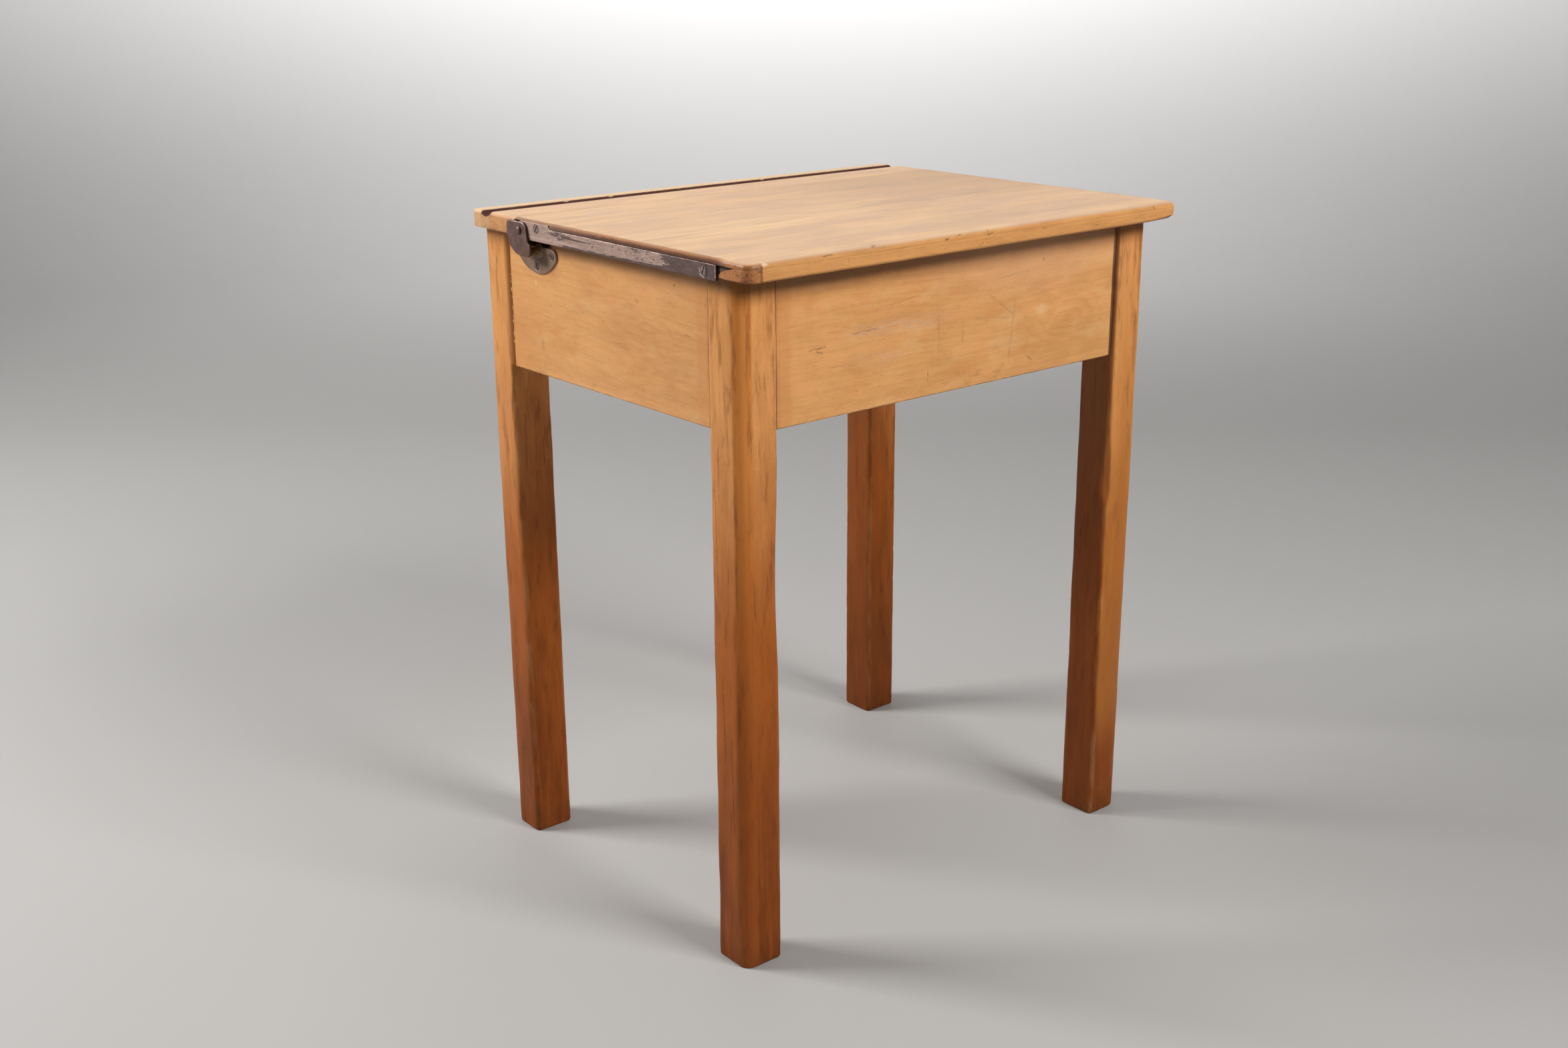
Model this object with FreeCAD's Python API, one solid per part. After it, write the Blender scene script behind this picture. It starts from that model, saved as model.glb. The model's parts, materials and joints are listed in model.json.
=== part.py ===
import FreeCAD, Part
import math
import os

# School desk with a lifting lid over a shallow locker.
# Millimetres. X runs to the user's right, Y to the back and Z up.
# The origin is on the floor, under the middle of the outer box.

V = FreeCAD.Vector

# Top: a lid that lifts, and a fixed pen ledge behind it, level with the lid
desk_height = 762.0
top_width = 622.0
lid_depth = 403.0
ledge_depth = 91.0
board_thickness = 19.0
front_board_depth = 204.0
joint_gap = 0.8
seat_gap = 0.3
top_edge_radius = 4.0
under_edge_chamfer = 1.5
lid_corner_radius = 9.0
ledge_corner_radius = 7.0

# Pen groove, worked along the ledge and open at both ends
groove_width = 20.0
groove_depth = 6.0
groove_from_back = 30.0

# Frame of four square legs and four aprons; the top overhangs it all round
side_overhang = 11.0
front_overhang = 30.8
rear_overhang = 2.0
leg_side = 50.0
leg_outer_radius = 14.0
leg_arris_radius = 6.5
foot_chamfer = 2.0
apron_height = 155.0
apron_thickness = 19.0
apron_setback = 4.0
apron_arris_radius = 1.5

# Tenons of the aprons, and the slip fit that the joints are cut to
tenon_thickness = 8.0
tenon_length = 26.0
tenon_shoulder = 15.0
joint_clearance = 0.1

# Hollows worn into the inner front arrises of the front legs
left_hollow_height = 426.0
left_hollow_length = 246.0
left_hollow_depth = 5.6
right_hollow_top = 568.0
right_hollow_deepest = 422.0
right_hollow_bottom = 399.0
right_hollow_depth = 6.6
right_hollow_blend = 9.0

# Locker: a thin bottom panel that lies on bearers inside the aprons
panel_thickness = 6.0
panel_clearance = 1.0
bearer_width = 15.0
bearer_height = 12.0
bearer_rise = 2.0

# Dowels that hold the ledge down
dowel_radius = 4.0
dowel_in_ledge = 10.0
dowel_in_frame = 22.0
dowel_spacing = 240.0
dowel_clearance = 0.05

# Hinge axis, measured from the back edge of the lid and from the top
pivot_setback = 12.4
pivot_drop = 12.0
swing_room = 0.8
notch_half_width = 36.0
notch_side_slope = 6.0
notch_corner_radius = 10.0

# Steel strap let into each end of the lid, with a taller tab at the pivot
strap_thickness = 3.0
strap_inset = 0.2
tab_radius = 10.0
strap_rise = 5.8
strap_setback = 49.1
tab_reach = 51.5
tab_slope = 3.4
strap_corner_radius = 1.5
strap_arris = 0.6
rebate_clearance = 0.2
strap_end_gap = 1.2
run_out_setback = 14.6
run_out_height = 1.6
tab_screw_reach = 29.0
tab_screw_rise = 4.0
front_screw_inset = 19.5
front_screw_drop = 2.1

# Bracket casting: a base plate on the apron, a post, and an arm to the pivot;
# the plate is as thick as its screws' countersinks are deep
plate_radius = 48.0
plate_forward = 7.5
plate_corner_radius = 8.0
plate_arris = 1.0
plate_screw_radius = 40.0
plate_screw_angle = 40.0
post_radius = 4.0
post_forward = 13.0
post_drop = 22.4
post_flare = 1.5
arm_gap = 0.3
arm_thickness = 3.0
arm_back = 26.0
arm_top = 9.0
arm_front = 9.6
arm_neck_front = 15.2
arm_neck_drop = 12.5
arm_collar_drop = 15.2
arm_toe_front = 19.8
arm_foot_drop = 28.0
arm_crown_radius = 6.0
arm_brow_radius = 7.0
arm_neck_radius = 5.0
arm_collar_radius = 2.2
arm_toe_radius = 6.4
arm_heel_radius = 26.5
arm_arris = 0.7

# Pivot rivet: domed outside, headed over behind the strap
rivet_radius = 3.0
rivet_fit = 0.05
pivot_fit = 0.08
dome_radius = 4.6
dome_height = 2.8
rivet_head_radius = 4.3
rivet_head_height = 1.4
rivet_head_gap = 0.15
recess_clearance = 0.9

# Slotted countersunk wood screws
screw_head_radius = 4.6
screw_shank_radius = 2.15
screw_length = 16.0
screw_recess = 0.15
screw_clearance = 0.1
slot_width = 1.2
slot_depth = 0.9

# One overrun for every cut, and the distance under which points are one
overrun = 5.0
same_point = 1e-6

# Planes and places that follow from the sizes above
top_depth = lid_depth + joint_gap + ledge_depth
front_y = -top_depth / 2
back_y = top_depth / 2
joint_y = back_y - ledge_depth
lid_back_y = joint_y - joint_gap
lid_thickness = board_thickness - seat_gap
lid_under_z = desk_height - lid_thickness
frame_top_z = desk_height - board_thickness
board_joint_y = front_y + front_board_depth
end_x = top_width / 2
frame_x = end_x - side_overhang
frame_back_y = back_y - rear_overhang
frame_front_y = front_y + front_overhang
apron_under_z = frame_top_z - apron_height
pivot_y = lid_back_y - pivot_setback
pivot_z = desk_height - pivot_drop
lid_edge_radius = math.hypot(pivot_setback, pivot_drop)
cove_radius = math.hypot(pivot_setback + joint_gap, pivot_drop)
apron_face_x = frame_x - apron_setback
strap_face_x = end_x - strap_inset
rebate_x = strap_face_x - strap_thickness
arm_inner_x = end_x + arm_gap
arm_outer_x = arm_inner_x + arm_thickness
plate_thickness = screw_head_radius + screw_recess - screw_shank_radius
plate_face_x = apron_face_x + plate_thickness
swing_radius = lid_edge_radius + swing_room
plate_y = pivot_y - plate_forward
strap_front_y = front_y + strap_setback
strap_reach = pivot_y - strap_front_y
strap_top_z = pivot_z + strap_rise


def box(x0, x1, y0, y1, z0, z1):
    """Block between two opposite corners."""
    corner = V(min(x0, x1), min(y0, y1), min(z0, z1))
    return Part.makeBox(abs(x1 - x0), abs(y1 - y0), abs(z1 - z0), corner)


def rod_x(radius, x0, x1, y, z):
    """Round bar along X between two planes."""
    return Part.makeCylinder(radius, abs(x1 - x0), V(min(x0, x1), y, z), V(1, 0, 0))


def rod_z(radius, x, y, z0, z1):
    """Round bar along Z between two heights."""
    return Part.makeCylinder(radius, z1 - z0, V(x, y, z0))


def rounded_wire(corners, place):
    """Closed wire through corners (u, v, radius), each rounded by a tangent arc."""
    arcs = []
    for i, (u, v, radius) in enumerate(corners):
        here = V(u, v, 0)
        before = V(*corners[i - 1][:2], 0) - here
        after = V(*corners[(i + 1) % len(corners)][:2], 0) - here
        before.normalize()
        after.normalize()
        half = before.getAngle(after) / 2
        middle = before + after
        middle.normalize()
        reach = radius / math.tan(half)
        rise = radius / math.sin(half) - radius
        arcs.append((here + before * reach, here + middle * rise, here + after * reach))
    edges = []
    for i, arc in enumerate(arcs):
        start, middle, end = (place(p.x, p.y) for p in arc)
        if start.distanceToPoint(end) > same_point:
            edges.append(Part.Arc(start, middle, end).toShape())
        following = place(*arcs[(i + 1) % len(arcs)][0][:2])
        if end.distanceToPoint(following) > same_point:
            edges.append(Part.makeLine(end, following))
    return Part.Wire(edges)


def plan_prism(corners, z0, z1):
    """Prism that stands on an outline drawn in plan."""
    face = Part.Face(rounded_wire(corners, lambda u, v: V(u, v, z0)))
    return face.extrude(V(0, 0, z1 - z0))


def side_prism(corners, x0, x1):
    """Prism along X from an outline in the pivot's own axes, u to the back, v up."""
    face = Part.Face(rounded_wire(corners, lambda u, v: V(x0, pivot_y + u, pivot_z + v)))
    return face.extrude(V(x1 - x0, 0, 0))


def edges_where(shape, test):
    """Edges of a shape whose middle passes a test."""
    found = []
    for edge in shape.Edges:
        if test(edge.CenterOfMass):
            found.append(edge)
    return found


def to_left(shape):
    """The same piece for the other end of the desk."""
    return shape.mirror(V(0, 0, 0), V(1, 0, 0))


def on_side(shape, side):
    """Pieces are drawn for the right end; side -1 turns them over to the left."""
    return shape if side > 0 else to_left(shape)


def turned_x(outline):
    """Solid of revolution about the X axis from points (x, radius) that start and end on it."""
    points = [V(x, radius, 0) for x, radius in outline]
    profile = Part.makePolygon(points + points[:1])
    return Part.Face(profile).revolve(V(0, 0, 0), V(1, 0, 0), 360)


def screw_shape(head, shank, length):
    """Countersunk screw along -X with its head at the origin."""
    return turned_x([
        (0, 0),
        (0, head),
        (shank - head, shank),
        (-length, shank),
        (-length, 0),
    ])


def screw(x, y, z, slot_angle):
    """Slotted screw whose head lies just under the face at x."""
    slot = box(-slot_depth, slot_depth, -screw_head_radius, screw_head_radius,
               -slot_width / 2, slot_width / 2)
    slot.rotate(V(0, 0, 0), V(1, 0, 0), slot_angle)
    body = screw_shape(screw_head_radius, screw_shank_radius, screw_length).cut(slot)
    body.translate(V(x - screw_recess, y, z))
    return body


def screw_hole(x, y, z):
    """Hole for a screw whose head lies just under the face at x."""
    hole = screw_shape(screw_head_radius + screw_recess + screw_clearance,
                       screw_shank_radius + screw_clearance,
                       screw_recess + screw_length + screw_clearance)
    hole.translate(V(x, y, z))
    return hole


# Places of the screws at the right end: y, z and the angle of the slot
strap_screws = [
    (pivot_y - tab_screw_reach, pivot_z + tab_screw_rise, 65),
    (strap_front_y + front_screw_inset, pivot_z - front_screw_drop, 100),
]
plate_screws = []
for turn, slot_angle in ((-180 + plate_screw_angle, 20), (-90, 115), (-plate_screw_angle, 80)):
    plate_screws.append((
        plate_y + plate_screw_radius * math.cos(math.radians(turn)),
        pivot_z + plate_screw_radius * math.sin(math.radians(turn)),
        slot_angle,
    ))


def apron(x0, x1, y0, y1, along_x):
    """Board between two legs with a shouldered tenon at each end."""
    board = box(x0, x1, y0, y1, apron_under_z, frame_top_z)
    low = edges_where(board, lambda c: abs(c.z - apron_under_z) < same_point)
    long_way = [e for e in low if e.Length > leg_side]
    board = board.makeFillet(apron_arris_radius, long_way)
    return board.fuse(apron_tenons(x0, x1, y0, y1, along_x, 0.0)).removeSplitter()


def apron_tenons(x0, x1, y0, y1, along_x, grown):
    """Both tenons of an apron, or with a clearance the mortises for them."""
    low = apron_under_z + tenon_shoulder - grown
    high = frame_top_z - tenon_shoulder + grown
    half = tenon_thickness / 2 + grown
    reach = tenon_length + grown
    if along_x:
        middle = (y0 + y1) / 2
        return box(x0 - reach, x1 + reach, middle - half, middle + half, low, high)
    middle = (x0 + x1) / 2
    return box(middle - half, middle + half, y0 - reach, y1 + reach, low, high)


inner_leg_x = frame_x - leg_side
inner_front_y = frame_front_y + leg_side
inner_back_y = frame_back_y - leg_side
front_apron_box = (-inner_leg_x, inner_leg_x, frame_front_y + apron_setback,
                   frame_front_y + apron_setback + apron_thickness, True)
rear_apron_box = (-inner_leg_x, inner_leg_x, frame_back_y - apron_setback - apron_thickness,
                  frame_back_y - apron_setback, True)
right_apron_box = (apron_face_x - apron_thickness, apron_face_x, inner_front_y, inner_back_y,
                   False)
left_apron_box = (-apron_face_x, apron_thickness - apron_face_x, inner_front_y, inner_back_y,
                  False)


def all_mortises():
    """Everything that the aprons' tenons take out of the legs."""
    boxes = (front_apron_box, rear_apron_box, right_apron_box, left_apron_box)
    cuts = [apron_tenons(*sizes, joint_clearance) for sizes in boxes]
    return Part.makeCompound(cuts)


def dowel_places():
    """Dowels under the ledge: one in each back leg and two in the back apron."""
    leg_x = frame_x - leg_side / 2
    leg_y = frame_back_y - leg_side / 2
    apron_y = frame_back_y - apron_setback - apron_thickness / 2
    return [(-leg_x, leg_y), (-dowel_spacing / 2, apron_y), (dowel_spacing / 2, apron_y),
            (leg_x, leg_y)]


def dowels(grown=0.0):
    """The ledge's dowels, or with a clearance the holes for them."""
    rods = []
    for x, y in dowel_places():
        rods.append(rod_z(dowel_radius + grown, x, y, frame_top_z - dowel_in_frame - grown,
                          frame_top_z + dowel_in_ledge + grown))
    return Part.makeCompound(rods)


def leg(side, end):
    """Square leg: a large round on its outer corner, small ones on the other three."""
    x_out = side * frame_x
    x_in = side * (frame_x - leg_side)
    y_out = frame_back_y if end > 0 else frame_front_y
    y_in = y_out - end * leg_side
    corners = [
        (x_out, y_out, leg_outer_radius),
        (x_in, y_out, leg_arris_radius),
        (x_in, y_in, leg_arris_radius),
        (x_out, y_in, leg_arris_radius),
    ]
    post = plan_prism(corners, 0, frame_top_z)
    foot = edges_where(post, lambda c: c.z < same_point)
    post = post.makeChamfer(foot_chamfer, foot)
    post = post.cut(all_mortises())
    if end > 0:
        post = post.cut(dowels(dowel_clearance))
    return post


def hollow_tool(corners, side):
    """Cutter across the inner front arris of a front leg; u is depth, v is height."""
    turn = math.sqrt(0.5)
    inward = V(side * turn, turn, 0)
    along = V(side * turn, -turn, 0)
    arris = V(side * inner_leg_x, frame_front_y, 0)
    start = arris - along * leg_side

    def place(u, v):
        return start + inward * u + V(0, 0, v)

    return Part.Face(rounded_wire(corners, place)).extrude(along * (2 * leg_side))


def left_hollow():
    """Long shallow hollow, an arc that dips evenly from both ends."""
    half = left_hollow_length / 2
    radius = (half ** 2 + left_hollow_depth ** 2) / (2 * left_hollow_depth)
    tool = Part.makeCylinder(radius, 2 * leg_side)
    turn = math.sqrt(0.5)
    tool.rotate(V(0, 0, 0), V(0, 1, 0), 90)
    tool.rotate(V(0, 0, 0), V(0, 0, 1), 45)
    arris = V(-inner_leg_x, frame_front_y, left_hollow_height)
    away = V(turn, -turn, 0) * (radius - left_hollow_depth)
    tool.translate(arris + away - V(turn, turn, 0) * leg_side)
    return tool


def right_hollow():
    """Flat that deepens downwards and ends in a short step."""
    corners = [
        (-leg_side, right_hollow_top, 0),
        (0, right_hollow_top, 0),
        (right_hollow_depth, right_hollow_deepest, right_hollow_blend),
        (0, right_hollow_bottom, 0),
        (-leg_side, right_hollow_bottom, 0),
    ]
    return hollow_tool(corners, 1)


def front_apron():
    return apron(*front_apron_box)


def rear_apron():
    return apron(*rear_apron_box).cut(dowels(dowel_clearance))


def swing_notch(side):
    """Scoop in the top of a side apron that the lid's back edge turns down into."""
    depth = -swing_radius
    above = pivot_drop + overrun
    corners = [
        (-notch_half_width, above, 0),
        (-notch_half_width, pivot_drop - board_thickness, 0),
        (notch_side_slope - notch_half_width, depth, notch_corner_radius),
        (notch_half_width - notch_side_slope, depth, notch_corner_radius),
        (notch_half_width, pivot_drop - board_thickness, 0),
        (notch_half_width, above, 0),
    ]
    inner = apron_face_x - apron_thickness - overrun
    return on_side(side_prism(corners, inner, apron_face_x + overrun), side)


def plate_screw_holes(side):
    """Holes for the three screws of one bracket."""
    holes = [screw_hole(plate_face_x, y, z) for y, z, _ in plate_screws]
    return on_side(Part.makeCompound(holes), side)


def side_apron(side):
    sizes = right_apron_box if side > 0 else left_apron_box
    return apron(*sizes).cut(swing_notch(side)).cut(plate_screw_holes(side))


def bearer(x0, x1, y0, y1):
    low = apron_under_z + bearer_rise
    return box(x0, x1, y0, y1, low, low + bearer_height)


locker_x = apron_face_x - apron_thickness
locker_front_y = frame_front_y + apron_setback + apron_thickness
locker_back_y = frame_back_y - apron_setback - apron_thickness


def locker_bottom():
    """Thin panel notched round the legs."""
    low = apron_under_z + bearer_rise + bearer_height
    high = low + panel_thickness
    x = locker_x - panel_clearance
    panel = box(-x, x, locker_front_y + panel_clearance, locker_back_y - panel_clearance,
                low, high)
    for side in (-1, 1):
        x_in = side * (inner_leg_x - panel_clearance)
        x_out = side * frame_x
        panel = panel.cut(box(x_in, x_out, frame_front_y, inner_front_y + panel_clearance,
                              low, high))
        panel = panel.cut(box(x_in, x_out, inner_back_y - panel_clearance, frame_back_y,
                              low, high))
    return panel


def rounded_board(y0, y1, z0, z1, front_radius, back_radius):
    """Board as wide as the desk with its outer arrises eased on three sides."""
    corners = [
        (-end_x, y0, front_radius),
        (end_x, y0, front_radius),
        (end_x, y1, back_radius),
        (-end_x, y1, back_radius),
    ]
    board = plan_prism(corners, z0, z1)
    joint = y1 if front_radius else y0

    def outer(centre, height):
        return abs(centre.z - height) < same_point and abs(centre.y - joint) > same_point

    board = board.makeFillet(top_edge_radius, edges_where(board, lambda c: outer(c, z1)))
    return board.makeChamfer(under_edge_chamfer, edges_where(board, lambda c: outer(c, z0)))


def pen_ledge():
    """Fixed board at the back: coved for the lid's round edge, grooved for pens."""
    ledge = rounded_board(pivot_y, back_y, frame_top_z, desk_height, 0, ledge_corner_radius)
    below = box(-end_x - overrun, end_x + overrun, front_y, pivot_y + cove_radius,
                frame_top_z - overrun, pivot_z)
    cove = rod_x(cove_radius, -end_x - overrun, end_x + overrun, pivot_y, pivot_z)
    radius = ((groove_width / 2) ** 2 + groove_depth ** 2) / (2 * groove_depth)
    groove_y = back_y - groove_from_back
    groove_z = desk_height - groove_depth + radius
    groove = rod_x(radius, -end_x - overrun, end_x + overrun, groove_y, groove_z)
    return ledge.cut(below).cut(cove).cut(groove).cut(dowels(dowel_clearance))


def strap_rebate(side):
    """Rebate for a strap in the end of the lid, with the saw's run-out in front."""
    outer = end_x + overrun
    top = strap_top_z + rebate_clearance
    tab_top = pivot_z + tab_radius + rebate_clearance
    tab_front = pivot_y - tab_reach - tab_slope - rebate_clearance
    strap_front = strap_front_y - strap_end_gap
    low = lid_under_z - overrun
    cut = box(rebate_x, outer, strap_front, back_y, low, top)
    cut = cut.fuse(box(rebate_x, outer, tab_front, back_y, low, tab_top))
    cut = cut.fuse(box(rebate_x, outer, front_y + run_out_setback, strap_front,
                       top - run_out_height, top))
    recess_depth = rivet_head_gap + rivet_head_height + recess_clearance
    recess = rod_x(rivet_head_radius + recess_clearance, rebate_x - recess_depth, outer,
                   pivot_y, pivot_z)
    holes = [screw_hole(strap_face_x, y, z) for y, z, _ in strap_screws]
    return on_side(cut.fuse(recess).fuse(Part.makeCompound(holes)), side)


def whole_lid():
    """Lid as one slab: eased arrises, round back edge, a rebate in each end."""
    slab = rounded_board(front_y, pivot_y + lid_edge_radius, lid_under_z, desk_height,
                         lid_corner_radius, 0)
    keep = box(-end_x - overrun, end_x + overrun, front_y - overrun, pivot_y,
               lid_under_z - overrun, desk_height + overrun)
    keep = keep.fuse(rod_x(lid_edge_radius, -end_x - overrun, end_x + overrun,
                           pivot_y, pivot_z))
    slab = slab.common(keep)
    for side in (-1, 1):
        slab = slab.cut(strap_rebate(side))
    return slab


def lid_boards():
    """The lid is jointed from two boards, glued edge to edge."""
    lid = whole_lid()
    half = box(-end_x - overrun, end_x + overrun, front_y - overrun, board_joint_y,
               lid_under_z - overrun, desk_height + overrun)
    return lid.common(half), lid.cut(half)


def strap():
    """Flat strap with a taller rounded tab round the pivot."""
    corners = [
        (tab_radius, tab_radius, tab_radius),
        (-tab_reach, tab_radius, strap_corner_radius),
        (-tab_reach - tab_slope, strap_rise, strap_corner_radius),
        (-strap_reach, strap_rise, strap_corner_radius),
        (-strap_reach, -tab_radius, strap_corner_radius),
        (tab_radius, -tab_radius, tab_radius),
    ]
    bar = side_prism(corners, rebate_x, strap_face_x)
    rim = edges_where(bar, lambda c: c.x > strap_face_x - same_point)
    bar = bar.makeChamfer(strap_arris, rim)
    bar = bar.cut(rod_x(rivet_radius + pivot_fit, rebate_x - overrun, arm_inner_x,
                        pivot_y, pivot_z))
    for y, z, _ in strap_screws:
        bar = bar.cut(screw_hole(strap_face_x, y, z))
    return bar


def base_plate():
    """Plate bounded by an arc centred level with the pivot and by a straight top."""
    plate = rod_x(plate_radius, apron_face_x, plate_face_x, plate_y, pivot_z)
    over = box(apron_face_x - overrun, plate_face_x + overrun, plate_y - plate_radius,
               plate_y + plate_radius, pivot_z - swing_radius, pivot_z + plate_radius)
    plate = plate.cut(over)
    middle_x = (apron_face_x + plate_face_x) / 2
    top_z = pivot_z - swing_radius
    ends = edges_where(plate, lambda c: abs(c.x - middle_x) < same_point
                       and abs(c.z - top_z) < same_point)
    plate = plate.makeFillet(plate_corner_radius, ends)
    rim = edges_where(plate, lambda c: c.x > plate_face_x - same_point)
    return plate.makeChamfer(plate_arris, rim)


def post():
    """Round post from the plate to the arm, which it meets in a conical flare."""
    flare = post_radius + post_flare
    turned = turned_x([
        (plate_face_x - plate_thickness / 2, 0),
        (plate_face_x - plate_thickness / 2, post_radius),
        (arm_inner_x - post_flare, post_radius),
        (arm_inner_x, flare),
        (arm_inner_x + arm_thickness / 2, flare),
        (arm_inner_x + arm_thickness / 2, 0),
    ])
    turned.translate(V(0, pivot_y - post_forward, pivot_z - post_drop))
    return turned


def arm():
    """Comma-shaped arm that rises from the post and covers the joint of the top."""
    corners = [
        (arm_back, arm_top, arm_crown_radius),
        (-arm_front, arm_top, arm_brow_radius),
        (-arm_neck_front, -arm_neck_drop, arm_neck_radius),
        (-arm_toe_front, -arm_collar_drop, arm_collar_radius),
        (-arm_toe_front, -arm_foot_drop, arm_toe_radius),
        (arm_back, -arm_foot_drop, arm_heel_radius),
    ]
    plate = side_prism(corners, arm_inner_x, arm_outer_x)
    rim = edges_where(plate, lambda c: c.x > arm_outer_x - same_point)
    return plate.makeChamfer(arm_arris, rim)


def bracket():
    """Plate, post and arm in one casting, drilled for its screws and the rivet."""
    casting = base_plate().fuse(post()).fuse(arm())
    casting = casting.cut(rod_x(rivet_radius + rivet_fit, arm_inner_x - overrun,
                                arm_outer_x + overrun, pivot_y, pivot_z))
    for y, z, _ in plate_screws:
        casting = casting.cut(screw_hole(plate_face_x, y, z))
    return casting.removeSplitter()


def pivot_rivet():
    """Rivet through the arm and the strap's tab, with a domed outer head."""
    inner_face = rebate_x - rivet_head_gap
    inner_end = inner_face - rivet_head_height
    tip = arm_outer_x + dome_height
    sphere = (dome_radius ** 2 + dome_height ** 2) / (2 * dome_height)
    half_turn = math.asin(dome_radius / sphere) / 2
    crest = V(tip - sphere * (1 - math.cos(half_turn)), sphere * math.sin(half_turn), 0)
    outline = [
        V(tip, 0, 0),
        V(inner_end, 0, 0),
        V(inner_end, rivet_head_radius, 0),
        V(inner_face, rivet_head_radius, 0),
        V(inner_face, rivet_radius, 0),
        V(arm_outer_x, rivet_radius, 0),
        V(arm_outer_x, dome_radius, 0),
    ]
    edges = [Part.makeLine(a, b) for a, b in zip(outline, outline[1:])]
    edges.append(Part.Arc(outline[-1], crest, outline[0]).toShape())
    turned = Part.Face(Part.Wire(edges)).revolve(V(0, 0, 0), V(1, 0, 0), 360)
    turned.translate(V(0, pivot_y, pivot_z))
    return turned


def at_both_ends(shapes):
    """The same small parts at the right end of the desk and at the left, as one group."""
    return Part.makeCompound(shapes + [to_left(shape) for shape in shapes])


def screws(places, face_x):
    """All the screws of one kind of fitting, at both ends."""
    return at_both_ends([screw(face_x, y, z, angle) for y, z, angle in places])


def frame_pieces():
    pieces = {}
    for side, side_name in ((-1, "left"), (1, "right")):
        pieces["leg_rear_" + side_name] = leg(side, 1)
        pieces["apron_" + side_name] = side_apron(side)
    pieces["leg_front_left"] = leg(-1, -1).cut(left_hollow())
    pieces["leg_front_right"] = leg(1, -1).cut(right_hollow())
    pieces["apron_front"] = front_apron()
    pieces["apron_rear"] = rear_apron()
    pieces["pen_ledge"] = pen_ledge()
    pieces["ledge_dowels"] = dowels()
    return pieces


def locker_pieces():
    pieces = {"locker_bottom": locker_bottom()}
    pieces["bearer_front"] = bearer(-inner_leg_x, inner_leg_x, locker_front_y,
                                    locker_front_y + bearer_width)
    pieces["bearer_rear"] = bearer(-inner_leg_x, inner_leg_x, locker_back_y - bearer_width,
                                   locker_back_y)
    for side, side_name in ((-1, "left"), (1, "right")):
        pieces["bearer_" + side_name] = bearer(side * (locker_x - bearer_width), side * locker_x,
                                               inner_front_y, inner_back_y)
    return pieces


def hinge_pieces():
    return {
        "hinge_bracket_right": bracket(),
        "hinge_bracket_left": to_left(bracket()),
        "lid_strap_right": strap(),
        "lid_strap_left": to_left(strap()),
        "pivot_rivets": at_both_ends([pivot_rivet()]),
        "strap_screws": screws(strap_screws, strap_face_x),
        "bracket_screws": screws(plate_screws, plate_face_x),
    }


def main():
    os.makedirs("parts", exist_ok=True)
    front_board, rear_board = lid_boards()
    pieces = {"lid_board_front": front_board, "lid_board_rear": rear_board}
    pieces.update(frame_pieces())
    pieces.update(locker_pieces())
    pieces.update(hinge_pieces())
    for name, shape in pieces.items():
        shape.exportStep("parts/" + name + ".step")


main()
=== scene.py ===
"""School desk with a lifting lid: worn beech, painted steel straps and cast hinge brackets.

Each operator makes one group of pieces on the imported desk. Pieces are drawn in
millimetres and stored in metres, in the desk's own frame.
"""

import json
import math
import random

import bmesh
import bpy
from bpy.props import FloatProperty, FloatVectorProperty, IntProperty, PointerProperty
from mathutils import Matrix, Vector, noise


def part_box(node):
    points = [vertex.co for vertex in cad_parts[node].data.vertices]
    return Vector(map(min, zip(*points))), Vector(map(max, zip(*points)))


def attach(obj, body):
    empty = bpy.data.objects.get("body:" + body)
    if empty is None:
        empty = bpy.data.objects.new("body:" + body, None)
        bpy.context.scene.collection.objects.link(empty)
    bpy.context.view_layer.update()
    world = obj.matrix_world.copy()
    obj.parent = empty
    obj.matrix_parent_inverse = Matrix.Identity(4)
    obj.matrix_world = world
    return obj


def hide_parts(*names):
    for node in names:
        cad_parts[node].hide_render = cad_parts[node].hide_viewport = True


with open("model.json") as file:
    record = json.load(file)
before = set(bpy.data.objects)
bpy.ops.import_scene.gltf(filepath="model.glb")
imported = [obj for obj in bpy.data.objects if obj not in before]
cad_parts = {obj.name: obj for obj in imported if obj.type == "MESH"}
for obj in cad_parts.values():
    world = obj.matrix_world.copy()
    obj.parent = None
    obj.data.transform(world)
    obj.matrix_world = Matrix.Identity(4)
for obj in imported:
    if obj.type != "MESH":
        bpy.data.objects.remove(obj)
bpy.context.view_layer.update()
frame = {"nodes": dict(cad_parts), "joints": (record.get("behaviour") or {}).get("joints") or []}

bl_info = {
    "name": "School Desk",
    "version": (1, 0, 0),
    "blender": (4, 5, 0),
    "location": "3D View > Sidebar > Desk",
    "description": "Makes the pieces, finishes and stage of a school desk with a lifting lid",
    "category": "Add Mesh",
}

MM = 0.001


def box_mm(node):
    """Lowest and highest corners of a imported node, in millimetres."""
    low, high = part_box(node)
    return [v / MM for v in low], [v / MM for v in high]


def faces_mm(node, side):
    """Distances of a node's inner and outer faces from the desk's middle."""
    low, high = box_mm(node)
    return (low[0], high[0]) if side > 0 else (-high[0], -low[0])


def linear(red, green, blue):
    """Scene-linear colour from the three 0 to 255 numbers of a colour chart."""
    def one(value):
        value /= 255
        return value / 12.92 if value <= 0.04045 else ((value + 0.055) / 1.055) ** 2.4
    return (one(red), one(green), one(blue))


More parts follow.
